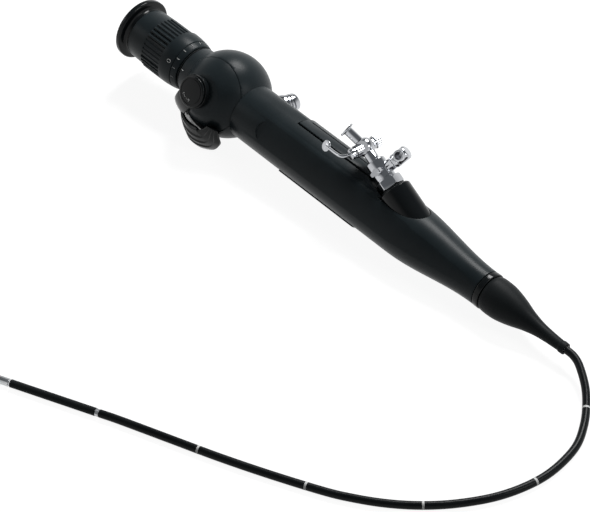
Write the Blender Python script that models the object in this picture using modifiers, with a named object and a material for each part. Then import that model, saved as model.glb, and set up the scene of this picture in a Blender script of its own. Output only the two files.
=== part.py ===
"""Flexible fibre endoscope lying on a table, built from separate parts.

The handle is modelled along its own +X axis, from the eyepiece to the boot, with the side
of the lever hub towards -Y and the side of the ports towards +Z. One empty then sets the
whole handle down on the table as it lies in use. All sizes are in metres.
"""
import math

import bmesh
import bpy
from mathutils import Matrix, Vector

# Fits between neighbouring parts
SEAT_GAP = 0.0003
RUNNING_GAP = 0.0002
SMALL_GAP = 0.0001
ROUND_STEPS = 24
FINE_STEPS = 16
SMALL_STEPS = 8

# Ball housing and lever axis
BALL_RADIUS = 0.0215
BALL_WALL = 0.0020
SPLIT_PLANE = 0.0115
HUB_FLAT_DEPTH = 0.0023
LEVER_AXIS_X = -0.0035
SHAFT_RADIUS = 0.0025
BUSHING_WALL = 0.0008
BUSHING_LENGTH = 0.0059
HUB_RADIUS = 0.0083
HUB_THICKNESS = 0.0028
HUB_CAP_RADIUS = 0.0077
HUB_CAP_THICKNESS = 0.0018
DRUM_RADIUS = 0.0065
DRUM_WIDTH = 0.0050
DRUM_Y = -0.0020
LEVER_GAP = 0.0008
LEVER_DEPTH = 0.0050
LEVER_HALF_SWING = math.radians(20.0)

# Eyepiece end
RIM_X = -0.0660
RIM_RADIUS = 0.01588
RIM_THICKNESS = 0.0030
CUP_MOUTH_RADIUS = 0.0128
CUP_NECK_RADIUS = 0.0121
CUP_LIP = 0.0020
EYE_TUBE_RADIUS = 0.0110
EYE_TUBE_WALL = 0.0014
WINDOW_THICKNESS = 0.0018
WINDOW_DEPTH = 0.0058
WINDOW_RING_WIDTH = 0.0009
FOCUS_START_X = -0.0600
FOCUS_END_X = -0.0245
RIB_START_X = -0.0490
RIB_END_X = -0.0360
FOCUS_RADIUS = 0.0134
RIB_HEIGHT = 0.0006
RIB_GROUPS = 3
RIBS_PER_GROUP = 8
RIB_PITCH_DEG = 9.5
RIB_PHASE_DEG = 33.0
NECK_RADIUS = 0.0122
CELL_START_X = -0.0540
CELL_LENGTH = 0.0130
CELL_WALL = 0.0012
CELL_TRAVEL = 0.0015
LENS_THICKNESS = 0.0030
PIN_RADIUS = 0.0008
PIN_GROOVE_DEPTH = 0.0010

# Grip
GRIP_RADIUS = 0.0140
GRIP_WALL = 0.0018
TAPER_START_X = 0.1210
GRIP_END_X = 0.1730
GRIP_END_RADIUS = 0.0090
FLAT_DISTANCE = 0.0126
FLAT_START_X = 0.0300
FLAT_ANGLE = 84.0
PAD_LENGTH = 0.0500
PAD_TO_PORT = 0.0427
PAD_RISE = 0.0006
PAD_DEPTH = 0.0010
PAD_HALF_ANGLE = 25.0
PAD_SLOT_WIDTH = 0.0007

# Light post
POST_X = 0.0232
POST_ANGLE = 22.5
POST_RADIUS = 0.0060
POST_LENGTH = 0.0228
POST_TIP_RADIUS = 0.0043
POST_STEM_RADIUS = 0.0040
POST_START = 0.0100
FIBRE_RADIUS = 0.0020

# Port assembly: its plane leans from the top of the grip towards the hub side
PORT_LEAN = 17.0
PORT_ANGLE = 25.0
PORT_CROSSING_X = 0.1417
BOSS_RADIUS = 0.0080
BOSS_START = 0.0135
BOSS_END = 0.0344
COLLAR_WALL = 0.0014
GASKET_THICKNESS = 0.0008
NUT_FLATS = 0.0114
NUT_HEIGHT = 0.0044
ADAPTOR_RADIUS = 0.00485
ADAPTOR_LENGTH = 0.0148
NECK_TUBE_RADIUS = 0.0029
HEAD_DISTANCE = 0.0585
HEAD_RADIUS = 0.0046
HEAD_FACET = 0.0034
CHANNEL_RADIUS = 0.0009
LUER_LENGTH = 0.0121
LUER_RADIUS = 0.0022
LUER_BORE = 0.00155
LUER_FLANGE_RADIUS = 0.0037
LUER_TURN = 16.7
TAP_AXIS_TILT = 17.0
TAP_BARREL_RADIUS = 0.0030
TAP_BARREL_START = -0.0056
TAP_BARREL_END = 0.0042
TAP_PLUG_RADIUS = 0.0017
TAP_HUB_RADIUS = 0.0026
TAP_LEVER_REACH = 0.0140
TAP_LEVER_ANGLE = -36.0
TAP_LEVER_CRANK = 0.0048
TAP_PADDLE_RADIUS = 0.0027
TAP_NUT_RADIUS = 0.0033
TAP_NUT_LENGTH = 0.0040
BRANCH_DISTANCE = 0.0445
BRANCH_LEAN = 25.0
BRANCH_RADIUS = 0.0034
BRANCH_LENGTH = 0.0162
SOCKET_DISTANCE = 0.0128
SOCKET_RADIUS = 0.0026
SOCKET_BORE = 0.00185
SOCKET_LENGTH = 0.0047
VALVE_TILT = 26.6
VALVE_PLUG_RADIUS = 0.0014
WING_LENGTH = 0.0064
WING_WIDTH = 0.0022
WING_THICKNESS = 0.0016

# Inside the grip
CHASSIS_Y = 0.0046
CHASSIS_THICKNESS = 0.0016
CHASSIS_START_X = -0.0140
BULKHEAD_X = (0.0315, 0.0880)
BULKHEAD_THICKNESS = 0.0025
BULKHEAD_WIDTH = 0.0028
COIL_PIPE_RADIUS = 0.0008
COIL_PIPE_BORE = 0.00045
COIL_PIPE_START_X = 0.0400
WIRE_RADIUS = 0.00022
WIRE_LENGTH = 0.0500
IMAGE_BUNDLE_RADIUS = 0.0011
LIGHT_BUNDLE_RADIUS = 0.0011
CHANNEL_TUBE_RADIUS = 0.0011
FERRULE_X = 0.1840
FERRULE_LENGTH = 0.0160
FERRULE_RADIUS = 0.0034
FERRULE_HEAD_RADIUS = 0.0044

# Boot and insertion tube
RING_LENGTH = 0.0030
BOOT_TIP_X = 0.2222
TUBE_RADIUS = 0.00185
HANDLE_PITCH = math.asin(0.0603)
HANDLE_ROLL = math.radians(27.75)
HANDLE_X = -0.0776
HANDLE_Y = 0.0011

# Bending section: ribs of a chain, moved by the pull wires
LINKS = 8
LINK_PITCH = 0.0050
LINK_RADIUS = 0.00140
LINK_BORE = 0.00110
SLEEVE_WALL = 0.00028
BASE_LENGTH = 0.0040
TIP_LENGTH = 0.0062

# Route of the insertion tube after the boot, measured from the point where the ball stands
TUBE_ROUTE = (
    (0.2267, -0.0002, 0.00755),
    (0.2320, -0.0022, 0.00655),
    (0.2410, -0.0083, 0.00460),
    (0.2484, -0.0157, 0.00300),
    (0.2546, -0.0241, 0.00210),
    (0.2599, -0.0343, 0.00190),
    (0.2624, -0.0458, 0.00190),
    (0.2628, -0.0577, 0.00190),
    (0.2607, -0.0696, 0.00190),
    (0.2567, -0.0809, 0.00190),
    (0.2508, -0.0916, 0.00190),
    (0.2438, -0.1014, 0.00190),
    (0.2356, -0.1103, 0.00190),
    (0.2265, -0.1181, 0.00190),
    (0.2166, -0.1249, 0.00190),
    (0.2060, -0.1309, 0.00190),
    (0.1839, -0.1410, 0.00190),
    (0.1619, -0.1501, 0.00190),
    (0.1394, -0.1585, 0.00190),
    (0.1168, -0.1669, 0.00190),
    (0.1075, -0.1707, 0.00190),
)
TUBE_POINTS = 60

X_AXIS = Vector((1.0, 0.0, 0.0))
HUB_SIDE = Vector((0.0, -1.0, 0.0))


def clear_scene():
    for item in list(bpy.data.objects):
        bpy.data.objects.remove(item, do_unlink=True)


def new_collection(name):
    group = bpy.data.collections.new(name)
    bpy.context.scene.collection.children.link(group)
    return group


def new_material(name, colour, roughness, metallic=0.0):
    surface = bpy.data.materials.new(name)
    surface.use_nodes = True
    shader = surface.node_tree.nodes["Principled BSDF"]
    shader.inputs["Base Color"].default_value = (*colour, 1.0)
    shader.inputs["Roughness"].default_value = roughness
    shader.inputs["Metallic"].default_value = metallic
    return surface


clear_scene()
parts = new_collection("flexible_endoscope")
cutters = new_collection("cutters")

black_satin = new_material("black_satin", (0.020, 0.024, 0.027), 0.38)
black_gloss = new_material("black_gloss", (0.008, 0.009, 0.011), 0.18)
black_rubber = new_material("black_rubber", (0.012, 0.012, 0.013), 0.55)
chrome = new_material("chrome", (0.80, 0.81, 0.83), 0.10, 1.0)
steel = new_material("steel", (0.56, 0.57, 0.58), 0.30, 1.0)
aluminium = new_material("aluminium", (0.72, 0.73, 0.74), 0.35, 1.0)
bronze = new_material("bronze", (0.55, 0.38, 0.18), 0.35, 1.0)
glass = new_material("glass", (0.75, 0.80, 0.85), 0.05)
white_polymer = new_material("white_polymer", (0.80, 0.80, 0.78), 0.45)

handle = bpy.data.objects.new("handle_frame", None)
handle.location = (HANDLE_X, HANDLE_Y, BALL_RADIUS)
handle.rotation_euler = (-HANDLE_ROLL, HANDLE_PITCH, 0.0)
parts.objects.link(handle)


# Building blocks

def axes_matrix(along, across=None):
    """Rotation that takes +Z to the direction along and, if given, +X to the side across."""
    along = Vector(along).normalized()
    if across is None:
        return Vector((0.0, 0.0, 1.0)).rotation_difference(along).to_matrix()
    across = Vector(across)
    across = (across - along * across.dot(along)).normalized()
    return Matrix((across, along.cross(across), along)).transposed()


def place(name, mesh, surface, origin, turn, parent=handle):
    """Puts a mesh in the scene. A piece with no surface is a cutter."""
    item = bpy.data.objects.new(name, mesh)
    item.location = Vector(origin)
    item.rotation_euler = turn.to_euler()
    item.parent = parent
    if surface is None:
        cutters.objects.link(item)
        item.hide_render = True
        item.display_type = "WIRE"
    else:
        parts.objects.link(item)
        mesh.materials.append(surface)
    return item


def turned(name, outer, surface=None, bore=None, origin=(0, 0, 0), along=X_AXIS, steps=ROUND_STEPS,
           across=None, parent=handle):
    """A turned piece. outer and bore hold (distance along the axis, radius), low end first."""
    loop = [(radius, height) for height, radius in reversed(outer)]
    if bore:
        loop += [(radius, height) for height, radius in bore]
    else:
        if outer[-1][1] > 0:
            loop.insert(0, (0.0, outer[-1][0]))
        if outer[0][1] > 0:
            loop.append((0.0, outer[0][0]))
    edges = [(index, index + 1) for index in range(len(loop) - 1)]
    if bore:
        edges.append((len(loop) - 1, 0))
    mesh = bpy.data.meshes.new(name)
    mesh.from_pydata([(radius, 0.0, height) for radius, height in loop], edges, [])
    item = place(name, mesh, surface, origin, axes_matrix(along, across), parent)
    screw = item.modifiers.new("turn", "SCREW")
    screw.axis = "Z"
    screw.angle = math.tau
    screw.steps = steps
    screw.render_steps = steps
    screw.use_merge_vertices = True
    screw.merge_threshold = 0.000001
    return item


def rod(name, start, end, radius, surface=None, steps=FINE_STEPS, parent=handle):
    start = Vector(start)
    run = Vector(end) - start
    return turned(name, [(0.0, radius), (run.length, radius)], surface, None, start, run, steps, None, parent)


def block(name, low, high, surface=None, origin=(0, 0, 0), along=(0, 0, 1), across=(1, 0, 0), parent=handle):
    """A box between two corners, given in the frame whose Z is along and whose X is across."""
    corners = (Vector(low), Vector(high))
    low = Vector([min(pair) for pair in zip(*corners)])
    high = Vector([max(pair) for pair in zip(*corners)])
    mesh = bpy.data.meshes.new(name)
    shape = bmesh.new()
    bmesh.ops.create_cube(shape, size=1.0)
    bmesh.ops.scale(shape, vec=high - low, verts=shape.verts)
    bmesh.ops.translate(shape, vec=(high + low) / 2, verts=shape.verts)
    shape.to_mesh(mesh)
    shape.free()
    return place(name, mesh, surface, origin, axes_matrix(along, across), parent)


def prism(name, outline, length, surface=None, origin=(0, 0, 0), along=X_AXIS, across=(0, 1, 0), parent=handle):
    """A flat outline of (across, up) points, drawn out along a direction."""
    mesh = bpy.data.meshes.new(name)
    shape = bmesh.new()
    corners = [shape.verts.new((a, b, 0.0)) for a, b in outline]
    face = shape.faces.new(corners)
    raised = bmesh.ops.extrude_face_region(shape, geom=[face])["geom"]
    moved = [part for part in raised if isinstance(part, bmesh.types.BMVert)]
    bmesh.ops.translate(shape, vec=(0.0, 0.0, length), verts=moved)
    bmesh.ops.recalc_face_normals(shape, faces=shape.faces)
    shape.to_mesh(mesh)
    shape.free()
    return place(name, mesh, surface, origin, axes_matrix(along, across), parent)


def loft(name, rings, surface=None, origin=(0, 0, 0), parent=handle):
    """Joins closed rings of points, all of one length, and caps both ends."""
    mesh = bpy.data.meshes.new(name)
    shape = bmesh.new()
    rows = [[shape.verts.new(point) for point in ring] for ring in rings]
    count = len(rings[0])
    for first, second in zip(rows, rows[1:]):
        for index in range(count):
            after = (index + 1) % count
            shape.faces.new((first[index], first[after], second[after], second[index]))
    shape.faces.new(rows[0])
    shape.faces.new(rows[-1])
    bmesh.ops.recalc_face_normals(shape, faces=shape.faces)
    shape.to_mesh(mesh)
    shape.free()
    return place(name, mesh, surface, origin, Matrix.Identity(3), parent)


def combine(item, other, operation):
    change = item.modifiers.new(operation.lower(), "BOOLEAN")
    change.operation = operation
    change.solver = "EXACT"
    change.object = other
    return item


def cut(item, *tools):
    for tool in tools:
        combine(item, tool, "DIFFERENCE")
    return item


def join(item, *others):
    for other in others:
        combine(item, other, "UNION")
    return item


def meet(item, other):
    return combine(item, other, "INTERSECT")


def round_edges(item, width, angle=40.0, segments=2):
    bevel = item.modifiers.new("round", "BEVEL")
    bevel.width = width
    bevel.segments = segments
    bevel.limit_method = "ANGLE"
    bevel.angle_limit = math.radians(angle)
    return item


def curve_through(points):
    """Closely spaced points on the smooth curve through the given ones."""
    points = [Vector(point) for point in points]
    ends = [points[0] * 2 - points[1]] + points + [points[-1] * 2 - points[-2]]
    fine = []
    for a, b, c, d in zip(ends, ends[1:], ends[2:], ends[3:]):
        for step in range(24):
            t = step / 24
            fine.append(0.5 * (2 * b + (c - a) * t + (2 * a - 5 * b + 4 * c - d) * t ** 2
                               + (3 * b - 3 * c + d - a) * t ** 3))
    fine.append(points[-1])
    return fine


def even_path(points, count):
    """Equally spaced points on that curve."""
    fine = curve_through(points)
    runs = [0.0]
    for first, second in zip(fine, fine[1:]):
        runs.append(runs[-1] + (second - first).length)
    path = []
    index = 0
    for number in range(count):
        target = runs[-1] * number / (count - 1)
        while index < len(runs) - 2 and runs[index + 1] < target:
            index += 1
        share = (target - runs[index]) / (runs[index + 1] - runs[index])
        path.append(fine[index].lerp(fine[index + 1], min(share, 1.0)))
    return path


def bent_path(points, longest=0.020, turn=0.16):
    """Points on that curve, close together only where it bends."""
    fine = curve_through(points)
    path = [fine[0]]
    heading = fine[1] - fine[0]
    for point, after in zip(fine[1:-1], fine[2:]):
        if (point - path[-1]).length > longest or (after - point).angle(heading) > turn:
            path.append(point)
            heading = after - point
    if (path[-1] - fine[-1]).length < 0.0004 and len(path) > 2:
        path.pop()
    return path + [fine[-1]]


def wire(name, path, radius, surface, parent=handle):
    """A round tube or wire along a path."""
    line = bpy.data.curves.new(name, "CURVE")
    line.dimensions = "3D"
    spline = line.splines.new("POLY")
    spline.points.add(len(path) - 1)
    for target, point in zip(spline.points, path):
        target.co = (*point, 1.0)
    line.bevel_depth = radius
    line.bevel_resolution = 2
    line.use_fill_caps = True
    return place(name, line, surface, (0, 0, 0), Matrix.Identity(3), parent)


def wire_mesh(name, path, radius, surface, parent=handle):
    """The same tube as a closed mesh, which can be cut or joined."""
    item = wire(name + "_line", path, radius, surface or steel, parent)
    bpy.context.view_layer.update()
    depsgraph = bpy.context.evaluated_depsgraph_get()
    mesh = bpy.data.meshes.new_from_object(item.evaluated_get(depsgraph))
    shape = bmesh.new()
    shape.from_mesh(mesh)
    bmesh.ops.remove_doubles(shape, verts=shape.verts, dist=0.000002)
    bmesh.ops.recalc_face_normals(shape, faces=shape.faces)
    shape.to_mesh(mesh)
    shape.free()
    mesh.materials.clear()
    bpy.data.objects.remove(item, do_unlink=True)
    return place(name, mesh, surface, (0, 0, 0), Matrix.Identity(3), parent)


def arc(radius, start, end, steps):
    """Points (distance along the axis, radius) on a ball's meridian."""
    first = math.acos(max(-1.0, min(1.0, start / radius)))
    last = math.acos(max(-1.0, min(1.0, end / radius)))
    points = []
    for step in range(steps + 1):
        angle = first + (last - first) * step / steps
        points.append((radius * math.cos(angle), radius * math.sin(angle)))
    return points


def around_grip(radius, angle):
    """A point's (Y, Z) at an angle from the top of the grip towards the hub side."""
    return (-radius * math.sin(math.radians(angle)), radius * math.cos(math.radians(angle)))


def lean(first, second, degrees):
    """The direction that lies the given angle from the first towards the second."""
    angle = math.radians(degrees)
    return first * math.cos(angle) + second * math.sin(angle)


# Eyepiece

EYE_TUBE_BORE = EYE_TUBE_RADIUS - EYE_TUBE_WALL
CUP_SEAT_X = RIM_X + CUP_LIP + 0.0006
CUP_END_X = FOCUS_START_X - 0.0004
WINDOW_X = RIM_X + WINDOW_DEPTH + WINDOW_RING_WIDTH + RUNNING_GAP
LEDGE_X = WINDOW_X + WINDOW_THICKNESS + RUNNING_GAP
EYE_TUBE_END_X = -0.0165
CELL_RADIUS = EYE_TUBE_BORE - RUNNING_GAP
CELL_BORE = CELL_RADIUS - CELL_WALL
CELL_MIDDLE_X = CELL_START_X + CELL_LENGTH / 2
LENS_RADIUS = CELL_BORE - RUNNING_GAP
FOCUS_HALF_TURN = math.radians(60.0)
FOCUS_LEAD = CELL_TRAVEL / FOCUS_HALF_TURN


def make_eyepiece_cup():
    rim_edge = 0.0005
    shoulder = RIM_X + RIM_THICKNESS
    outer = [
        (RIM_X, RIM_RADIUS - rim_edge),
        (RIM_X + rim_edge, RIM_RADIUS),
        (shoulder - rim_edge, RIM_RADIUS),
        (shoulder, RIM_RADIUS - rim_edge),
        (shoulder + 0.0003, CUP_NECK_RADIUS + 0.0012),
        (shoulder + 0.0009, CUP_NECK_RADIUS + 0.0003),
        (shoulder + 0.0017, CUP_NECK_RADIUS),
        (CUP_END_X, CUP_NECK_RADIUS),
    ]
    seat = EYE_TUBE_RADIUS + SEAT_GAP
    bore = [
        (RIM_X, CUP_MOUTH_RADIUS),
        (RIM_X + CUP_LIP, EYE_TUBE_BORE),
        (CUP_SEAT_X, EYE_TUBE_BORE),
        (CUP_SEAT_X, seat),
        (CUP_END_X, seat),
    ]
    turned("eyepiece_cup", outer, black_gloss, bore)


def make_eyepiece_tube():
    start = CUP_SEAT_X + SEAT_GAP
    ledge = EYE_TUBE_BORE - 0.0008
    outer = [(start, EYE_TUBE_RADIUS), (EYE_TUBE_END_X, EYE_TUBE_RADIUS)]
    bore = [
        (start, EYE_TUBE_BORE),
        (LEDGE_X, EYE_TUBE_BORE),
        (LEDGE_X, ledge),
        (LEDGE_X + 0.0006, ledge),
        (LEDGE_X + 0.0006, EYE_TUBE_BORE),
        (EYE_TUBE_END_X, EYE_TUBE_BORE),
    ]
    tube = turned("eyepiece_tube", outer, aluminium, bore)
    half_width = PIN_RADIUS + SEAT_GAP
    half_length = PIN_RADIUS + CELL_TRAVEL + SEAT_GAP
    slot = block(
        "pin_slot_cutter",
        (CELL_MIDDLE_X - half_length, -half_width, CELL_BORE),
        (CELL_MIDDLE_X + half_length, half_width, EYE_TUBE_RADIUS + 0.002),
    )
    cut(tube, slot)


def make_window():
    radius = EYE_TUBE_BORE - RUNNING_GAP
    turned("ocular_window", [(WINDOW_X, radius), (WINDOW_X + WINDOW_THICKNESS, radius)], glass)
    ring_start = RIM_X + WINDOW_DEPTH
    ring_end = ring_start + WINDOW_RING_WIDTH
    ring_bore = radius - 0.0014
    turned("window_ring", [(ring_start, radius), (ring_end, radius)], black_gloss,
           [(ring_start, ring_bore), (ring_end, ring_bore)])


def lens_profile(middle, radius, thickness):
    bulge = thickness * 0.28
    half = thickness / 2
    outer = []
    for share in (0.0, 0.6, 1.0):
        outer.append((middle - half + bulge * share ** 2, radius * share))
    return outer + [(2 * middle - place_x, size) for place_x, size in reversed(outer)]


def make_ocular():
    end = CELL_START_X + CELL_LENGTH
    turned("ocular_cell", [(CELL_START_X, CELL_RADIUS), (end, CELL_RADIUS)], aluminium,
           [(CELL_START_X, CELL_BORE), (end, CELL_BORE)], origin=(0, 0, 0))
    margin = LENS_THICKNESS / 2 + 0.0004
    turned("ocular_lens_rear", lens_profile(CELL_START_X + margin, LENS_RADIUS, LENS_THICKNESS), glass,
           steps=FINE_STEPS)
    turned("ocular_lens_front", lens_profile(end - margin, LENS_RADIUS, LENS_THICKNESS), glass,
           steps=FINE_STEPS)
    pin_start = CELL_RADIUS + SMALL_GAP
    pin_end = EYE_TUBE_RADIUS + PIN_GROOVE_DEPTH - SMALL_GAP
    rod("focus_pin", (CELL_MIDDLE_X, 0, pin_start), (CELL_MIDDLE_X, 0, pin_end), PIN_RADIUS, steel, SMALL_STEPS)


def make_focus_ribs():
    """Bars along the ring, in groups with plain stretches between them."""
    bars = bpy.data.meshes.new("focus_ribs")
    shape = bmesh.new()
    length = RIB_END_X - RIB_START_X
    bar_radius = 0.00055
    for group in range(RIB_GROUPS):
        for number in range(RIBS_PER_GROUP):
            offset = number - (RIBS_PER_GROUP - 1) / 2
            angle = math.tau * group / RIB_GROUPS + math.radians(RIB_PHASE_DEG + offset * RIB_PITCH_DEG)
            distance = FOCUS_RADIUS + RIB_HEIGHT - bar_radius
            spot = Matrix.Rotation(angle, 4, "Z") @ Matrix.Translation((distance, 0, length / 2))
            bmesh.ops.create_cone(shape, cap_ends=True, segments=4, radius1=bar_radius, radius2=bar_radius,
                                  depth=length, matrix=spot)
    shape.to_mesh(bars)
    shape.free()
    return place("focus_ribs", bars, None, (RIB_START_X, 0, 0), axes_matrix(X_AXIS, (0, 0, 1)))


def make_focus_ring():
    edge = 0.0004
    outer = [
        (FOCUS_START_X, FOCUS_RADIUS - 0.0008),
        (FOCUS_START_X + edge, FOCUS_RADIUS - 0.0003),
        (RIB_START_X - edge, FOCUS_RADIUS),
        (RIB_END_X, FOCUS_RADIUS),
        (RIB_END_X, FOCUS_RADIUS + RIB_HEIGHT),
        (RIB_END_X + 0.0030, FOCUS_RADIUS + RIB_HEIGHT - 0.0001),
        (FOCUS_END_X - edge, NECK_RADIUS + 0.0003),
        (FOCUS_END_X, NECK_RADIUS - 0.0002),
    ]
    inner = EYE_TUBE_RADIUS + RUNNING_GAP
    ring = turned("focus_ring", outer, black_satin, [(FOCUS_START_X, inner), (FOCUS_END_X, inner)])
    join(ring, make_focus_ribs())
    groove_radius = PIN_RADIUS + SEAT_GAP
    groove_path = []
    reach = FOCUS_HALF_TURN + math.radians(8.0)
    height = EYE_TUBE_RADIUS + PIN_GROOVE_DEPTH + RUNNING_GAP - groove_radius * 0.6
    for step in range(13):
        turn = reach * (step / 6 - 1)
        groove_path.append((CELL_MIDDLE_X - FOCUS_LEAD * turn,
                            -height * math.sin(turn), height * math.cos(turn)))
    cut(ring, wire_mesh("focus_groove_cutter", groove_path, groove_radius, None))


def make_focus_seal():
    minor = 0.0004
    major = EYE_TUBE_RADIUS + SMALL_GAP + minor
    middle = (FOCUS_END_X + NECK_START_X) / 2
    loop = []
    for step in range(6):
        angle = math.tau * step / 6
        loop.append((middle + minor * math.sin(angle), major + minor * math.cos(angle)))
    turned("focus_seal", [loop[4], loop[5], loop[0], loop[1]], black_rubber, [loop[3], loop[2]])


# Ball housing, side cover and lever

NECK_START_X = -0.0232
COVER_LOW_X = -0.0169
COVER_HIGH_X = 0.0172
SPIGOT_END_X = 0.0206
SPIGOT_RADIUS = GRIP_RADIUS - GRIP_WALL - SEAT_GAP
POST_OUT = Vector((0, *around_grip(1.0, POST_ANGLE - 90.0)))
SPIGOT_BORE = SPIGOT_RADIUS - 0.0014
HUB_FLAT = BALL_RADIUS - HUB_FLAT_DEPTH
HUB_BOTTOM = HUB_FLAT + SEAT_GAP
HUB_TOP = HUB_BOTTOM + HUB_THICKNESS
BUSHING_BORE = SHAFT_RADIUS + RUNNING_GAP
BUSHING_RADIUS = BUSHING_BORE + BUSHING_WALL
BUSHING_END = HUB_FLAT - SMALL_GAP - BUSHING_LENGTH


def ball_shell(name, surface):
    """The hollow ball with its neck towards the eyepiece and its spigot towards the grip."""
    inner_ball = BALL_RADIUS - BALL_WALL
    neck_meet = -math.sqrt(BALL_RADIUS ** 2 - NECK_RADIUS ** 2)
    spigot_meet = math.sqrt(BALL_RADIUS ** 2 - SPIGOT_RADIUS ** 2)
    tube_hole = EYE_TUBE_RADIUS + SEAT_GAP
    hole_meet = -math.sqrt(inner_ball ** 2 - tube_hole ** 2)
    bore_meet = math.sqrt(inner_ball ** 2 - SPIGOT_BORE ** 2)
    outer = [(NECK_START_X, NECK_RADIUS - 0.0004), (NECK_START_X + 0.0003, NECK_RADIUS)]
    outer += arc(BALL_RADIUS, neck_meet, spigot_meet, 10)
    outer += [(SPIGOT_END_X, SPIGOT_RADIUS)]
    bore = [(NECK_START_X, tube_hole)]
    bore += arc(inner_ball, hole_meet, bore_meet, 9)
    bore += [(SPIGOT_END_X, SPIGOT_BORE)]
    return turned(name, outer, surface, bore, steps=ROUND_STEPS + 4)


def make_ball_housing():
    reach = BALL_RADIUS + 0.005
    opening = block("cover_opening_cutter", (COVER_LOW_X, -reach, -reach), (COVER_HIGH_X, -SPLIT_PLANE, reach))
    post_room = rod("post_room_cutter", (POST_X, 0, 0), Vector((POST_X, 0, 0)) + POST_OUT * (GRIP_RADIUS + 0.004),
                    POST_STEM_RADIUS + SEAT_GAP)
    cut(ball_shell("ball_housing", black_satin), opening, post_room)


def make_side_cover():
    reach = BALL_RADIUS + 0.005
    keep = block(
        "cover_keeper",
        (COVER_LOW_X + SEAT_GAP, -HUB_FLAT, -reach),
        (COVER_HIGH_X - SEAT_GAP, -SPLIT_PLANE - SEAT_GAP, reach),
    )
    cover = meet(ball_shell("side_cover", black_satin), keep)
    axis_point = Vector((LEVER_AXIS_X, 0, 0))
    boss = rod("bearing_boss", axis_point + HUB_SIDE * (BUSHING_END + SEAT_GAP),
               axis_point + HUB_SIDE * (HUB_FLAT - 0.0001), BUSHING_RADIUS + 0.0016)
    hole = rod("bearing_hole_cutter", axis_point, axis_point + HUB_SIDE * (BALL_RADIUS + 0.002),
               BUSHING_RADIUS + RUNNING_GAP)
    join(cover, boss)
    cut(cover, hole)


def make_lever_shaft():
    axis_point = Vector((LEVER_AXIS_X, 0, 0))
    outer = [(BUSHING_END, BUSHING_RADIUS), (HUB_FLAT - 0.0001, BUSHING_RADIUS)]
    bore = [(BUSHING_END, BUSHING_BORE), (HUB_FLAT - 0.0001, BUSHING_BORE)]
    turned("shaft_bushing", outer, bronze, bore, axis_point, HUB_SIDE, FINE_STEPS)
    far_end = -(CHASSIS_Y + CHASSIS_THICKNESS + 0.0010)
    turned("lever_shaft", [(far_end, SHAFT_RADIUS), (HUB_TOP - 0.0004, SHAFT_RADIUS)], steel, None,
           axis_point, HUB_SIDE, FINE_STEPS)


def make_wire_drum():
    flange = DRUM_RADIUS + 0.0013
    half = DRUM_WIDTH / 2
    middle = -DRUM_Y
    wall = 0.0006
    outer = [
        (middle - half, flange),
        (middle - half + wall, flange),
        (middle - half + wall, DRUM_RADIUS),
        (middle + half - wall, DRUM_RADIUS),
        (middle + half - wall, flange),
        (middle + half, flange),
    ]
    bore_radius = SHAFT_RADIUS + SMALL_GAP
    bore = [(middle - half, bore_radius), (middle + half, bore_radius)]
    turned("wire_drum", outer, steel, bore, (LEVER_AXIS_X, 0, 0), HUB_SIDE, FINE_STEPS)


def on_lever_sphere(polar, around, radius):
    """A point by its angle from the hub axis and its angle round it, from +X towards +Z."""
    polar = math.radians(polar)
    around = math.radians(around)
    return Vector((math.sin(polar) * math.cos(around), -math.cos(polar),
                   math.sin(polar) * math.sin(around))) * radius


def lever_band(name, stations, surface=None):
    """A stepped band on a sphere: each station is (polar, around, outer radius, width, thickness)."""
    section = [(-0.50, 0.20), (-0.46, 0.40), (-0.22, 0.48), (-0.18, 0.62), (0.00, 0.67), (0.04, 0.80),
               (0.20, 0.84), (0.24, 0.96), (0.44, 1.00), (0.50, 0.75), (0.43, 0.00), (0.15, 0.00), (-0.15, 0.00),
               (-0.46, 0.00)]
    centres = [on_lever_sphere(polar, around, radius) for polar, around, radius, width, depth in stations]
    rings = []
    for index, (polar, around, radius, width, depth) in enumerate(stations):
        before = centres[max(index - 1, 0)]
        after = centres[min(index + 1, len(centres) - 1)]
        outward = centres[index].normalized()
        forward = (after - before).normalized()
        side = forward.cross(outward).normalized()
        ring = []
        for share, height in section:
            tilt = share * width / radius
            direction = outward * math.cos(tilt) + side * math.sin(tilt)
            ring.append(direction * (radius - depth * (1.0 - height)))
        rings.append(ring)
    return loft(name, rings, surface, (LEVER_AXIS_X, 0, 0))


def between(value, table):
    """Reads a value from rows of (position, value)."""
    for (low, first), (high, last) in zip(table, table[1:]):
        if value <= high:
            return first + (last - first) * max(0.0, value - low) / (high - low)
    return table[-1][1]


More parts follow.
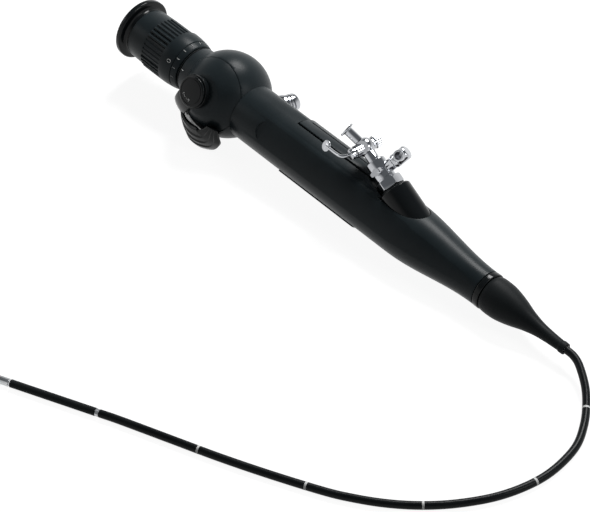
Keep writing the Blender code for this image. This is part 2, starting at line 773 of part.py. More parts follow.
def make_lever():
    """Hub disc, arm down the ball and thumb paddle round its underside."""
    thumb = []
    near_edge = ((0.0, 50.0), (0.2, 48.0), (0.5, 44.0), (0.8, 44.0), (1.0, 42.0))
    far_edge = ((0.0, 58.0), (0.1, 68.0), (0.19, 77.0), (0.33, 74.0), (0.48, 72.0), (0.63, 74.0), (0.75, 77.0),
                (0.84, 71.0), (0.91, 62.0), (1.0, 54.0))
    rise = ((0.0, 0.0009), (0.17, 0.0027), (0.33, 0.0050), (0.5, 0.0074), (0.6, 0.0083), (0.7, 0.0084),
            (0.8, 0.0077), (1.0, 0.0054))
    for step in range(13):
        share = step / 12
        around = -138.0 + 101.0 * share
        radius = BALL_RADIUS + between(share, rise)
        ball_side = BALL_RADIUS + LEVER_GAP - LEVER_AXIS_X * math.cos(math.radians(around) + LEVER_HALF_SWING)
        near = between(share, near_edge)
        far = between(share, far_edge)
        width = math.radians(far - near) * radius
        thumb.append(((near + far) / 2, around, radius, width, min(LEVER_DEPTH, radius - ball_side)))
    paddle = lever_band("deflection_lever", thumb, black_gloss)
    arm = []
    for step in range(5):
        share = step / 4
        arm.append((12.0 + 46.0 * share, -122.0 - 2.0 * share, BALL_RADIUS + 0.0020 + 0.0006 * share,
                    0.0115 - 0.0015 * share, 0.0018))
    outer = [(HUB_BOTTOM, HUB_RADIUS - 0.0002), (HUB_BOTTOM + 0.0003, HUB_RADIUS), (HUB_TOP, HUB_RADIUS)]
    hub = turned("lever_hub", outer, None, None, (LEVER_AXIS_X, 0, 0), HUB_SIDE, ROUND_STEPS)
    below = rod("lever_floor_cutter", (LEVER_AXIS_X, 0, 0), (LEVER_AXIS_X, -HUB_BOTTOM, 0), HUB_RADIUS + 0.003)
    bore = rod("lever_bore_cutter", (LEVER_AXIS_X, -0.010, 0), (LEVER_AXIS_X, -0.030, 0), SHAFT_RADIUS + SMALL_GAP)
    above = rod("lever_cap_cutter", (LEVER_AXIS_X, -HUB_TOP, 0), (LEVER_AXIS_X, -HUB_TOP - 0.01, 0),
                HUB_RADIUS + 0.0005)
    arm_body = lever_band("lever_arm", arm)
    join(paddle, arm_body, hub)
    cut(paddle, below, above, bore)
    start = HUB_TOP + SMALL_GAP
    cap = [(start, HUB_CAP_RADIUS), (start + HUB_CAP_THICKNESS * 0.6, HUB_CAP_RADIUS)]
    for share in (0.85, 0.6, 0.3, 0.0):
        rise = HUB_CAP_THICKNESS * (1.0 - 0.28 * share ** 2)
        cap.append((start + rise, HUB_CAP_RADIUS * share * 0.97))
    turned("hub_cap", cap, black_gloss, None, (LEVER_AXIS_X, 0, 0), HUB_SIDE)


# Grip

SHELL_START_X = math.sqrt(BALL_RADIUS ** 2 - GRIP_RADIUS ** 2) + SEAT_GAP
GRIP_BORE = GRIP_RADIUS - GRIP_WALL
SHELL_BORE_X = math.sqrt(BALL_RADIUS ** 2 - GRIP_BORE ** 2) + SEAT_GAP


def grip_radius_at(x):
    if x <= TAPER_START_X:
        return GRIP_RADIUS
    share = min(1.0, (x - TAPER_START_X) / (GRIP_END_X - TAPER_START_X))
    return GRIP_RADIUS - (GRIP_RADIUS - GRIP_END_RADIUS) * (1.0 - math.cos(math.pi * share)) / 2


def grip_profile(start, inset):
    steps = 7
    points = [(start, GRIP_RADIUS - inset)]
    for step in range(steps + 1):
        x = TAPER_START_X + (GRIP_END_X - TAPER_START_X) * step / steps
        points.append((x, grip_radius_at(x) - inset))
    return points


PAD_START_X = PORT_CROSSING_X - PAD_TO_PORT - PAD_LENGTH
PORT_CROSSING = Vector((PORT_CROSSING_X, 0, 0))
PORT_UP = Vector((0, *around_grip(1.0, PORT_LEAN)))
PORT_OUT = lean(-X_AXIS, PORT_UP, PORT_ANGLE)
PORT_RISE = lean(X_AXIS, PORT_UP, 90.0 - PORT_ANGLE)
PORT_FAR = PORT_OUT.cross(PORT_RISE)


def port_point(distance):
    return PORT_CROSSING + PORT_OUT * distance


def pad_outline(inner, outer, half_angle, steps=8):
    outline = []
    for step in range(steps + 1):
        angle = -half_angle + 2 * half_angle * step / steps
        outline.append(around_grip(outer, angle))
    for step in range(steps + 1):
        angle = half_angle - 2 * half_angle * step / steps
        outline.append(around_grip(inner, angle))
    return outline


def make_pad(name, side):
    """A rubber strip that follows the grip, with a slot down its middle. side is 1 on top, -1 below."""
    inner = GRIP_RADIUS - PAD_DEPTH
    outline = pad_outline(inner, GRIP_RADIUS + PAD_RISE, PAD_HALF_ANGLE)
    if side < 0:
        outline = [(-y, -z) for y, z in outline]
    pad = prism(name, outline, PAD_LENGTH, black_rubber, (PAD_START_X, 0, 0))
    top = GRIP_RADIUS + PAD_RISE
    slot = block(name + "_slot_cutter",
                 (PAD_START_X + 0.003, -PAD_SLOT_WIDTH / 2, side * (top - 0.0008)),
                 (PAD_START_X + PAD_LENGTH - 0.003, PAD_SLOT_WIDTH / 2, side * (top + 0.002)))
    cut(pad, slot)


def pad_pocket(name, side):
    extra = math.degrees(PAD_SLOT_WIDTH / GRIP_RADIUS)
    outline = pad_outline(GRIP_RADIUS - PAD_DEPTH - SEAT_GAP, GRIP_RADIUS + 0.002, PAD_HALF_ANGLE + extra)
    if side < 0:
        outline = [(-y, -z) for y, z in outline]
    return prism(name, outline, PAD_LENGTH + 2 * PAD_SLOT_WIDTH, None, (PAD_START_X - PAD_SLOT_WIDTH, 0, 0))


def flat_cutter():
    """Cuts the long flat on the hub side: arched at its start, then following the taper."""
    half = 0.0063
    arch = 0.0065
    rows = []
    for step in range(6):
        share = step / 5
        rows.append((FLAT_START_X + arch * (1.0 - math.cos(math.pi / 2 * share)),
                     half * max(0.12, math.sin(math.pi / 2 * share)), FLAT_DISTANCE))
    rows.append((TAPER_START_X + 0.004, half, FLAT_DISTANCE))
    for step in range(1, 6):
        x = TAPER_START_X + 0.004 + 0.043 * step / 5
        rows.append((x, half * (1.0 - 0.5 * step / 5), grip_radius_at(x) - 0.0013 * (1.0 - step / 6)))
    out = Vector((0, *around_grip(1.0, FLAT_ANGLE)))
    sideways = X_AXIS.cross(out)
    rings = []
    for x, width, depth in rows:
        low = X_AXIS * x + out * depth
        high = X_AXIS * x + out * (GRIP_RADIUS + 0.002)
        rings.append([low - sideways * width, low + sideways * width,
                      high + sideways * width, high - sideways * width])
    return loft("flat_cutter", rings)


def make_handle_shell():
    shell = turned("handle_shell", grip_profile(SHELL_START_X, 0.0), black_satin,
                   grip_profile(SHELL_BORE_X, GRIP_WALL), steps=ROUND_STEPS + 4)
    collar = rod("port_collar", port_point(BOSS_START), port_point(0.050),
                 BOSS_RADIUS + SEAT_GAP + COLLAR_WALL, steps=ROUND_STEPS)
    core = turned("grip_core", grip_profile(SHELL_BORE_X, 0.0007), steps=ROUND_STEPS)
    meet(collar, core)
    hole = rod("port_hole_cutter", port_point(BOSS_START - 0.002), port_point(0.055),
               BOSS_RADIUS + SEAT_GAP, steps=ROUND_STEPS)
    post_hole = rod("post_hole_cutter", (POST_X, 0, 0), Vector((POST_X, 0, 0)) + POST_OUT * (GRIP_RADIUS + 0.004),
                    POST_STEM_RADIUS + SEAT_GAP)
    join(shell, collar)
    cut(shell, hole, post_hole, pad_pocket("front_pocket_cutter", 1), pad_pocket("back_pocket_cutter", -1),
        flat_cutter())


# Light post

POST_SEAT = GRIP_RADIUS + SEAT_GAP


def make_light_post():
    origin = (POST_X, 0, 0)
    outer = [
        (POST_START, POST_STEM_RADIUS),
        (POST_SEAT, POST_STEM_RADIUS),
        (POST_SEAT, POST_RADIUS),
        (0.0162, POST_RADIUS),
        (0.0166, POST_RADIUS - 0.0004),
        (0.0166, POST_TIP_RADIUS - 0.0003),
        (0.0176, POST_TIP_RADIUS - 0.0003),
        (0.0176, POST_TIP_RADIUS + 0.0007),
        (0.0186, POST_TIP_RADIUS + 0.0007),
        (0.0186, POST_TIP_RADIUS - 0.0005),
        (0.0196, POST_TIP_RADIUS - 0.0005),
        (0.0196, POST_TIP_RADIUS + 0.0004),
        (POST_LENGTH - 0.0006, POST_TIP_RADIUS + 0.0002),
        (POST_LENGTH, POST_TIP_RADIUS - 0.0002),
    ]
    hole = FIBRE_RADIUS + SMALL_GAP
    turned("light_post", outer, chrome, [(POST_START, hole), (POST_LENGTH, hole)], origin, POST_OUT, FINE_STEPS + 4)
    turned("light_fibre_face", [(POST_START + 0.0002, FIBRE_RADIUS), (POST_LENGTH - 0.0004, FIBRE_RADIUS)],
           glass, None, origin, POST_OUT, SMALL_STEPS)


# Port assembly

TAP_AXIS = lean(PORT_FAR, PORT_RISE, TAP_AXIS_TILT)
LUER_OUT = lean(PORT_OUT, -PORT_FAR, LUER_TURN)
BRANCH_OUT = lean(PORT_RISE, PORT_FAR, BRANCH_LEAN)
VALVE_AXIS = lean(-PORT_FAR, PORT_RISE, VALVE_TILT)
HEAD = PORT_CROSSING + PORT_OUT * HEAD_DISTANCE
NUT_START = BOSS_END + SMALL_GAP + GASKET_THICKNESS + SMALL_GAP
ADAPTOR_START = NUT_START + 0.0002
SHOULDER = ADAPTOR_START + ADAPTOR_LENGTH


def make_port_boss():
    chamfer = 0.0008
    outer = [(BOSS_START, BOSS_RADIUS), (BOSS_END - chamfer, BOSS_RADIUS), (BOSS_END, BOSS_RADIUS - chamfer)]
    hole = CHANNEL_RADIUS + 0.0003
    turned("port_boss", outer, black_gloss, [(BOSS_START, hole), (BOSS_END, hole)], PORT_CROSSING, PORT_OUT)
    low = BOSS_END + SMALL_GAP
    high = low + GASKET_THICKNESS
    turned("port_gasket", [(low, 0.0060), (high, 0.0060)], black_rubber, [(low, 0.0036), (high, 0.0036)],
           PORT_CROSSING, PORT_OUT, FINE_STEPS)


def make_port_nut():
    corner = NUT_FLATS / 2 / math.cos(math.pi / 6)
    low = NUT_START
    high = NUT_START + NUT_HEIGHT
    nut = turned("port_nut", [(low, corner), (high, corner)], chrome, None, PORT_CROSSING, PORT_OUT, 6,
                 across=lean(PORT_RISE, PORT_FAR, -18.0))
    chamfer = 0.0006
    barrel = turned("nut_chamfer", [(low - 0.001, corner - 0.0003 - chamfer), (low + chamfer, corner - 0.0001),
                                    (high - chamfer, corner - 0.0001), (high + 0.001, corner - 0.0003 - chamfer)],
                    None, None, PORT_CROSSING, PORT_OUT)
    meet(nut, barrel)
    cut(nut, rod("nut_bore_cutter", port_point(low - 0.002), port_point(high + 0.002),
                 ADAPTOR_RADIUS + RUNNING_GAP))


def make_adaptor():
    """The main barrel, its neck and the round head that carries the tap."""
    outer = [
        (ADAPTOR_START, ADAPTOR_RADIUS),
        (SHOULDER - 0.0004, ADAPTOR_RADIUS),
        (SHOULDER, ADAPTOR_RADIUS - 0.0004),
        (SHOULDER, NECK_TUBE_RADIUS),
        (HEAD_DISTANCE - HEAD_RADIUS * 0.5, NECK_TUBE_RADIUS),
    ]
    body = turned("adaptor_body", outer, chrome, None, PORT_CROSSING, PORT_OUT, FINE_STEPS + 4)
    ball = turned("adaptor_head", arc(HEAD_RADIUS, -HEAD_RADIUS, HEAD_RADIUS, 8), None, None, HEAD, PORT_FAR,
                  FINE_STEPS)
    barrel = rod("tap_barrel", HEAD + TAP_AXIS * TAP_BARREL_START, HEAD + TAP_AXIS * TAP_BARREL_END,
                 TAP_BARREL_RADIUS)
    facet = rod("facet_cutter", HEAD + VALVE_AXIS * HEAD_FACET, HEAD + VALVE_AXIS * (HEAD_FACET + 0.004),
                HEAD_RADIUS)
    join(body, ball)
    cut(body, facet)
    join(body, barrel)
    cut(
        body,
        rod("tap_bore_cutter", HEAD - TAP_AXIS * 0.010, HEAD + TAP_AXIS * 0.010, TAP_PLUG_RADIUS + RUNNING_GAP),
        rod("channel_cutter", port_point(ADAPTOR_START - 0.002), HEAD, CHANNEL_RADIUS, steps=SMALL_STEPS),
        rod("luer_channel_cutter", HEAD, HEAD + LUER_OUT * 0.008, CHANNEL_RADIUS, steps=SMALL_STEPS),
        rod("valve_bore_cutter", valve_point(-0.008), valve_point(0.008), VALVE_PLUG_RADIUS + RUNNING_GAP,
            steps=SMALL_STEPS),
        rod("branch_channel_cutter", port_point(BRANCH_DISTANCE), port_point(BRANCH_DISTANCE) + BRANCH_OUT * 0.008,
            CHANNEL_RADIUS, steps=SMALL_STEPS),
    )


def valve_point(distance):
    return port_point(BRANCH_DISTANCE) + VALVE_AXIS * distance


def make_luer_port():
    lip = 0.0008
    outer = [
        (HEAD_RADIUS * 0.7, LUER_RADIUS),
        (LUER_LENGTH - lip - 0.0004, LUER_RADIUS),
        (LUER_LENGTH - lip, LUER_FLANGE_RADIUS),
        (LUER_LENGTH, LUER_FLANGE_RADIUS),
    ]
    taper_end = LUER_LENGTH - 0.0062
    bore = [
        (HEAD_RADIUS * 0.7, CHANNEL_RADIUS),
        (taper_end, CHANNEL_RADIUS),
        (taper_end, LUER_BORE - 0.0003),
        (LUER_LENGTH, LUER_BORE),
    ]
    port = turned("luer_port", outer, chrome, bore, HEAD, LUER_OUT, FINE_STEPS)
    seat = turned("luer_seat_cutter", arc(HEAD_RADIUS + SMALL_GAP, -HEAD_RADIUS - SMALL_GAP,
                                          HEAD_RADIUS + SMALL_GAP, 8), None, None, HEAD, PORT_FAR, FINE_STEPS)
    cut(port, seat)


def make_suction_branch():
    base = port_point(BRANCH_DISTANCE)
    outer = [
        (ADAPTOR_RADIUS * 0.75, BRANCH_RADIUS - 0.0005),
        (ADAPTOR_RADIUS + 0.0028, BRANCH_RADIUS - 0.0005),
        (ADAPTOR_RADIUS + 0.0032, BRANCH_RADIUS),
        (SOCKET_DISTANCE - SOCKET_RADIUS - 0.0004, BRANCH_RADIUS),
        (SOCKET_DISTANCE - SOCKET_RADIUS - 0.0004, BRANCH_RADIUS - 0.0004),
        (SOCKET_DISTANCE - SOCKET_RADIUS, BRANCH_RADIUS - 0.0004),
        (SOCKET_DISTANCE - SOCKET_RADIUS, BRANCH_RADIUS),
        (BRANCH_LENGTH - 0.0007, BRANCH_RADIUS),
        (BRANCH_LENGTH, BRANCH_RADIUS - 0.0008),
    ]
    branch = turned("suction_branch", outer, chrome, None, base, BRANCH_OUT, FINE_STEPS)
    socket_base = base + BRANCH_OUT * SOCKET_DISTANCE
    socket = rod("suction_socket", socket_base, socket_base + VALVE_AXIS * SOCKET_LENGTH, SOCKET_RADIUS)
    seat = rod("branch_seat_cutter", port_point(BRANCH_DISTANCE - 0.008), port_point(SHOULDER + 0.004),
               ADAPTOR_RADIUS + SMALL_GAP, steps=FINE_STEPS + 4)
    bore = rod("socket_bore_cutter", socket_base - VALVE_AXIS * 0.0012, socket_base + VALVE_AXIS * 0.008,
               SOCKET_BORE)
    channel = rod("branch_bore_cutter", base, socket_base, CHANNEL_RADIUS, steps=SMALL_STEPS)
    join(branch, socket)
    cut(branch, seat, bore, channel)


def make_tap():
    """The tap's tapered plug, its lever with a cranked arm, and the knurled nut behind it."""
    plug = turned("tap_plug", [(-0.0079, TAP_PLUG_RADIUS), (0.0074, TAP_PLUG_RADIUS)], steel, None, HEAD, TAP_AXIS,
                  SMALL_STEPS + 2)
    cut(plug, rod("plug_channel_cutter", HEAD - PORT_OUT * 0.004, HEAD + PORT_OUT * 0.004, CHANNEL_RADIUS,
                  steps=SMALL_STEPS))
    hub_low = -0.0088
    hub_high = TAP_BARREL_START - RUNNING_GAP
    hub_bore = TAP_PLUG_RADIUS + SMALL_GAP
    outer = [(hub_low, TAP_HUB_RADIUS - 0.0003), (hub_low + 0.0003, TAP_HUB_RADIUS), (hub_high, TAP_HUB_RADIUS)]
    lever = turned("tap_lever", outer, chrome, None, HEAD, TAP_AXIS, FINE_STEPS)
    reach = lean(PORT_OUT, TAP_AXIS.cross(PORT_OUT), TAP_LEVER_ANGLE)
    path = []
    shape = ((0.05, 0.0), (0.06, 0.50), (0.13, 0.85), (0.27, 1.0), (0.50, 1.02), (0.75, 1.0), (1.0, 0.96))
    for share, offset in shape:
        path.append(HEAD + reach * (TAP_LEVER_REACH * share) + TAP_AXIS * (hub_low + 0.0012 - TAP_LEVER_CRANK * offset))
    arm = wire_mesh("tap_arm", bent_path(path), 0.00075, None)
    half = 0.00055
    face = VALVE_AXIS - reach * VALVE_AXIS.dot(reach)
    paddle = turned("tap_paddle", [(-half, TAP_PADDLE_RADIUS - 0.0004), (0.0, TAP_PADDLE_RADIUS),
                                   (half, TAP_PADDLE_RADIUS - 0.0004)], None, None, path[-1], face, FINE_STEPS)
    join(lever, arm, paddle)
    cut(lever, rod("hub_bore_cutter", HEAD + TAP_AXIS * (hub_low + 0.0006), HEAD + TAP_AXIS * (hub_high + 0.001),
                   hub_bore, steps=SMALL_STEPS + 2))
    nut_start = TAP_BARREL_END + RUNNING_GAP
    nut_end = nut_start + TAP_NUT_LENGTH
    nut_outer = [
        (nut_start, TAP_BARREL_RADIUS - 0.0003),
        (nut_start + 0.0008, TAP_BARREL_RADIUS - 0.0003),
        (nut_start + 0.0008, TAP_NUT_RADIUS),
        (nut_end - 0.0004, TAP_NUT_RADIUS),
        (nut_end, TAP_NUT_RADIUS - 0.0004),
    ]
    nut = turned("tap_nut", nut_outer, chrome, None, HEAD, TAP_AXIS, FINE_STEPS)
    cut(nut, rod("tap_nut_cutter", HEAD, HEAD + TAP_AXIS * 0.0076, hub_bore, steps=SMALL_STEPS + 2))


def make_valve():
    """The small plug that opens the suction branch, turned by a wing key."""
    base = port_point(BRANCH_DISTANCE)
    low = ADAPTOR_RADIUS + RUNNING_GAP
    turned("valve_plug", [(-0.0046, VALVE_PLUG_RADIUS), (low + 0.0010, VALVE_PLUG_RADIUS)], steel, None, base,
           VALVE_AXIS, SMALL_STEPS)
    half = WING_LENGTH / 2
    key = block("wing_key", (-half, -WING_WIDTH / 2, low), (half, WING_WIDTH / 2, low + WING_THICKNESS), chrome,
                base, VALVE_AXIS, PORT_RISE)
    round_edges(key, 0.0005)
    join(key, rod("wing_hub", base + VALVE_AXIS * low, base + VALVE_AXIS * (low + WING_THICKNESS + 0.0004), 0.0018,
                  steps=SMALL_STEPS))
    cut(key, rod("wing_bore_cutter", base, base + VALVE_AXIS * (low + 0.0012), VALVE_PLUG_RADIUS + SMALL_GAP,
                 steps=SMALL_STEPS))


# Inside the handle

def make_chassis():
    bulkhead_bore = GRIP_BORE - SEAT_GAP - BULKHEAD_WIDTH
    half_height = math.sqrt((bulkhead_bore - SEAT_GAP) ** 2 - (CHASSIS_Y + CHASSIS_THICKNESS) ** 2)
    plate = block("chassis", (CHASSIS_START_X, CHASSIS_Y, -half_height),
                  (BULKHEAD_X[1] + 0.004, CHASSIS_Y + CHASSIS_THICKNESS, half_height), aluminium)
    cut(plate, rod("chassis_bearing_cutter", (LEVER_AXIS_X, 0, 0), (LEVER_AXIS_X, 0.012, 0),
                   SHAFT_RADIUS + RUNNING_GAP))
    names = ("bulkhead_rear", "bulkhead_front")
    for name, x in zip(names, BULKHEAD_X):
        outer = [(x, GRIP_BORE - SEAT_GAP), (x + BULKHEAD_THICKNESS, GRIP_BORE - SEAT_GAP)]
        bore = [(x, bulkhead_bore), (x + BULKHEAD_THICKNESS, bulkhead_bore)]
        turned(name, outer, aluminium, bore, steps=FINE_STEPS)


WIRE_SPOTS = {"up": (-0.0012, 1.0), "down": (-0.0028, -1.0)}
FERRULE_SPOTS = {
    "image": (0.0, -0.0024),
    "light": (0.0026, -0.0004),
    "channel": (0.0008, 0.0026),
    "up": (-0.0020, 0.0014),
    "down": (-0.0024, -0.0008),
}


def at_ferrule(name, back=0.0):
    y, z = FERRULE_SPOTS[name]
    return (FERRULE_X - SEAT_GAP - back, y, z)


def make_pull_wires():
    height = DRUM_RADIUS + RUNNING_GAP + WIRE_RADIUS
    start = LEVER_AXIS_X + 0.0010
    middles = {
        "up": [(0.070, -0.0012, height), (0.086, -0.0050, 0.0050), (0.100, -0.0082, -0.0030),
               (0.120, -0.0082, -0.0052), (0.140, -0.0070, -0.0052), (0.160, -0.0042, -0.0025)],
        "down": [(0.070, -0.0028, -height), (0.094, -0.0034, -0.0070), (0.140, -0.0036, -0.0074),
                 (0.160, -0.0028, -0.0042)],
    }
    for name, (y, side) in WIRE_SPOTS.items():
        z = side * height
        rod("pull_wire_" + name, (start, y, z), (start + WIRE_LENGTH, y, z), WIRE_RADIUS, steel, 8)
        route = [(COIL_PIPE_START_X, y, z), (0.055, y, z)] + middles[name] + [at_ferrule(name, 0.006), at_ferrule(name)]
        pipe = wire_mesh("coil_pipe_" + name, bent_path(route), COIL_PIPE_RADIUS, steel)
        bore_end = start + WIRE_LENGTH + 0.0060
        cut(pipe, rod(f"coil_bore_{name}_cutter", (COIL_PIPE_START_X - 0.002, y, z), (bore_end, y, z),
                      COIL_PIPE_BORE, steps=SMALL_STEPS))


def make_bundles():
    holder_x = -0.0360
    holder_end = holder_x + 0.0040
    hole = IMAGE_BUNDLE_RADIUS + RUNNING_GAP
    turned("bundle_holder", [(holder_x, CELL_RADIUS), (holder_end, CELL_RADIUS)], aluminium,
           [(holder_x, hole), (holder_end, hole)], steps=FINE_STEPS)
    beside_drum = (DRUM_Y + DRUM_WIDTH / 2 + CHASSIS_Y) / 2
    over_shaft = SHAFT_RADIUS + IMAGE_BUNDLE_RADIUS + 0.0009
    wire("image_bundle", bent_path([
        (holder_x - 0.0002, 0, 0), (-0.0290, 0, 0), (-0.0180, 0.0014, 0.0024),
        (LEVER_AXIS_X, beside_drum, over_shaft), (0.0120, 0.0022, 0.0030), (0.0300, 0.0016, 0.0002),
        (0.0600, 0.0014, -0.0030), (0.0900, 0.0006, -0.0062), (0.1200, -0.0004, -0.0076),
        (0.1420, -0.0002, -0.0072), (0.1620, 0, -0.0044), at_ferrule("image", 0.006), at_ferrule("image"),
    ]), IMAGE_BUNDLE_RADIUS, white_polymer)
    post_end = Vector((POST_X, 0, 0)) + POST_OUT * (POST_START - SMALL_GAP)
    wire("light_bundle", bent_path([
        post_end, post_end - POST_OUT * 0.0012, (POST_X + 0.0011, 0.0078, 0.0024),
        (POST_X + 0.0040, 0.0076, 0.0012), (0.0330, 0.0076, 0.0),
        (0.0600, 0.0076, 0.0), (0.0900, 0.0076, -0.0020), (0.1060, 0.0050, -0.0060), (0.1220, 0.0030, -0.0076),
        (0.1420, 0.0030, -0.0070), (0.1620, 0.0028, -0.0036), at_ferrule("light", 0.006), at_ferrule("light"),
    ]), LIGHT_BUNDLE_RADIUS, white_polymer)
    boss_end = port_point(BOSS_START - SEAT_GAP)
    wire("channel_tube", bent_path([
        boss_end, port_point(BOSS_START - 0.003), (0.1420, 0.0, 0.0016), (0.1560, 0.0006, 0.0016),
        at_ferrule("channel", 0.008), at_ferrule("channel"),
    ]), CHANNEL_TUBE_RADIUS, white_polymer)
    step_x = FERRULE_X + 0.006
    turned("tube_ferrule", [
        (FERRULE_X, FERRULE_HEAD_RADIUS), (step_x, FERRULE_HEAD_RADIUS), (step_x, FERRULE_RADIUS),
        (FERRULE_X + FERRULE_LENGTH, FERRULE_RADIUS), (FERRULE_X + FERRULE_LENGTH, TUBE_RADIUS),
        (BOOT_TIP_X, TUBE_RADIUS),
    ], steel, steps=FINE_STEPS)


# Boot

def make_boot():
    ring_start = GRIP_END_X + SEAT_GAP
    ring_end = ring_start + RING_LENGTH
    ring_bore = FERRULE_HEAD_RADIUS + 0.0012
    turned("boot_ring", [
        (ring_start, GRIP_END_RADIUS - 0.0002), (ring_start + 0.0003, GRIP_END_RADIUS + 0.0001),
        (ring_end - 0.0003, GRIP_END_RADIUS + 0.0001), (ring_end, GRIP_END_RADIUS - 0.0003),
    ], black_gloss, [(ring_start, ring_bore), (ring_end, ring_bore)])
    start = ring_end + SEAT_GAP
    body = BOOT_TIP_X - start
    shape = ((0.0, 0.0085), (0.05, 0.0090), (0.17, 0.0089), (0.28, 0.0080), (0.38, 0.0068),
             (0.50, 0.0051), (0.64, 0.0037), (0.78, 0.0030), (0.93, 0.0026), (0.95, 0.0029), (1.0, 0.0028))
    outer = [(start + body * share, radius) for share, radius in shape]
    step_x = FERRULE_X + 0.006 + SEAT_GAP
    neck_x = FERRULE_X + FERRULE_LENGTH + SEAT_GAP
    bore = [
        (start, FERRULE_HEAD_RADIUS + SEAT_GAP),
        (step_x, FERRULE_HEAD_RADIUS + SEAT_GAP),
        (step_x, FERRULE_RADIUS + SEAT_GAP),
        (neck_x, FERRULE_RADIUS + SEAT_GAP),
        (neck_x, TUBE_RADIUS + SEAT_GAP),
        (BOOT_TIP_X, TUBE_RADIUS + SEAT_GAP),
    ]
    turned("boot", outer, black_rubber, bore, steps=FINE_STEPS + 6)


# Insertion tube and bending section, which lie on the table

CHAIN_HEADING = math.radians(-157.5)
STAND = Vector((HANDLE_X, HANDLE_Y, 0.0))
CHAIN_START = Vector(TUBE_ROUTE[-1]) + STAND
CHAIN_ALONG = Vector((math.cos(CHAIN_HEADING), math.sin(CHAIN_HEADING), 0.0))
UP = Vector((0.0, 0.0, 1.0))
LINK_RING_LENGTH = LINK_PITCH - 0.0014
EAR_RADIUS = 0.00052
EAR_THICKNESS = 0.00024


def chain_point(distance):
    return CHAIN_START + CHAIN_ALONG * distance


def joint_distance(number):
    return BASE_LENGTH + SEAT_GAP + LINK_PITCH * number


def make_insertion_tube():
    exit_point = handle_matrix() @ Vector((BOOT_TIP_X + SEAT_GAP, 0, 0))
    route = [exit_point] + [Vector(point) + STAND for point in TUBE_ROUTE]
    wire("insertion_tube", even_path(route, TUBE_POINTS), TUBE_RADIUS, black_satin, parent=None)


def handle_matrix():
    turn = Matrix.Rotation(HANDLE_PITCH, 4, "Y") @ Matrix.Rotation(-HANDLE_ROLL, 4, "X")
    return Matrix.Translation((HANDLE_X, HANDLE_Y, BALL_RADIUS)) @ turn


def ear(name, low, high, pivot_x, root_x):
    """A flat hinge ear from a ring's edge to just past the pivot, between two heights."""
    tip = pivot_x + math.copysign(EAR_RADIUS, pivot_x - root_x)
    bend = pivot_x + (tip - pivot_x) * 0.4
    half = EAR_RADIUS * 0.9
    outline = [(root_x, -half), (bend, -half), (tip, -half * 0.5), (tip, half * 0.5), (bend, half), (root_x, half)]
    return prism(name, outline, abs(high - low), None, (0, 0, min(low, high)), UP, X_AXIS, None)


def link_mesh():
    """One rib of the bending section: a ring with outer ears behind and inner ears in front."""
    ring_start = (LINK_PITCH - LINK_RING_LENGTH) / 2
    ring_end = ring_start + LINK_RING_LENGTH
    ring = turned("link_pattern", [(ring_start, LINK_RADIUS), (ring_end, LINK_RADIUS)], steel,
                  [(ring_start, LINK_BORE), (ring_end, LINK_BORE)], steps=SMALL_STEPS, parent=None)
    overlap = 0.0006
    outer_low = LINK_RADIUS - EAR_THICKNESS - 0.00004
    outer_high = LINK_RADIUS - 0.00004
    inner_high = outer_low - 0.00006
    inner_low = inner_high - EAR_THICKNESS
    for side in (1, -1):
        back = ear(f"back_ear_{side}", side * outer_low, side * outer_high, 0.0, ring_start + overlap)
        front = ear(f"front_ear_{side}", side * inner_low, side * inner_high, LINK_PITCH, ring_end - overlap)
        web = block(f"front_web_{side}", (ring_end - overlap * 1.5, -EAR_RADIUS * 0.8, side * inner_low),
                    (ring_end - 0.0001, EAR_RADIUS * 0.8, side * (outer_low + 0.0001)), parent=None)
        join(ring, back, web, front)
    bpy.context.view_layer.update()
    depsgraph = bpy.context.evaluated_depsgraph_get()
    mesh = bpy.data.meshes.new_from_object(ring.evaluated_get(depsgraph))
    mesh.transform(ring.matrix_world)
    bpy.data.objects.remove(ring, do_unlink=True)
    return mesh


def make_bending_section():
    heading = Matrix.Rotation(CHAIN_HEADING, 3, "Z")
    start = SEAT_GAP
    end = BASE_LENGTH
    base = turned("bending_base", [(start, TUBE_RADIUS), (start + 0.0016, TUBE_RADIUS),
                                   (start + 0.0016, LINK_RADIUS), (end - 0.0004, LINK_RADIUS)],
                  steel, [(start, LINK_BORE), (end - 0.0004, LINK_BORE)], CHAIN_START, CHAIN_ALONG, SMALL_STEPS,
                  parent=None)
    inner_high = LINK_RADIUS - EAR_THICKNESS - 0.00008
    inner_low = inner_high - EAR_THICKNESS
    pivot = joint_distance(0)
    for side in (1, -1):
        eye = rod(f"base_eye_{side}", chain_point(pivot) + UP * side * inner_low,
                  chain_point(pivot) + UP * side * inner_high, EAR_RADIUS, steps=6, parent=None)
        bar = block(f"base_bar_{side}", (end - 0.0012, -EAR_RADIUS * 0.8, side * inner_low),
                    (pivot, EAR_RADIUS * 0.8, side * inner_high), None, CHAIN_START, UP, CHAIN_ALONG, parent=None)
        web = block(f"base_web_{side}", (end - 0.0013, -EAR_RADIUS * 0.7, side * inner_low),
                    (end - 0.0006, EAR_RADIUS * 0.7, side * (LINK_RADIUS - 0.0001)), None, CHAIN_START, UP,
                    CHAIN_ALONG, parent=None)
        join(base, web, bar, eye)
    shared = link_mesh()
    for number in range(LINKS):
        item = place(f"bending_link_{number + 1}", shared.copy(), steel, chain_point(joint_distance(number)),
                     heading, parent=None)
        item.data.materials.clear()
        item.data.materials.append(steel)
    sleeve_start = start + 0.0016 + 0.0002
    sleeve_end = joint_distance(LINKS) - 0.0004
    bore = TUBE_RADIUS - SLEEVE_WALL
    turned("bending_rubber", [(sleeve_start, TUBE_RADIUS), (sleeve_end, TUBE_RADIUS)], black_rubber,
           [(sleeve_start, bore), (sleeve_end, bore)], CHAIN_START, CHAIN_ALONG, SMALL_STEPS, parent=None)


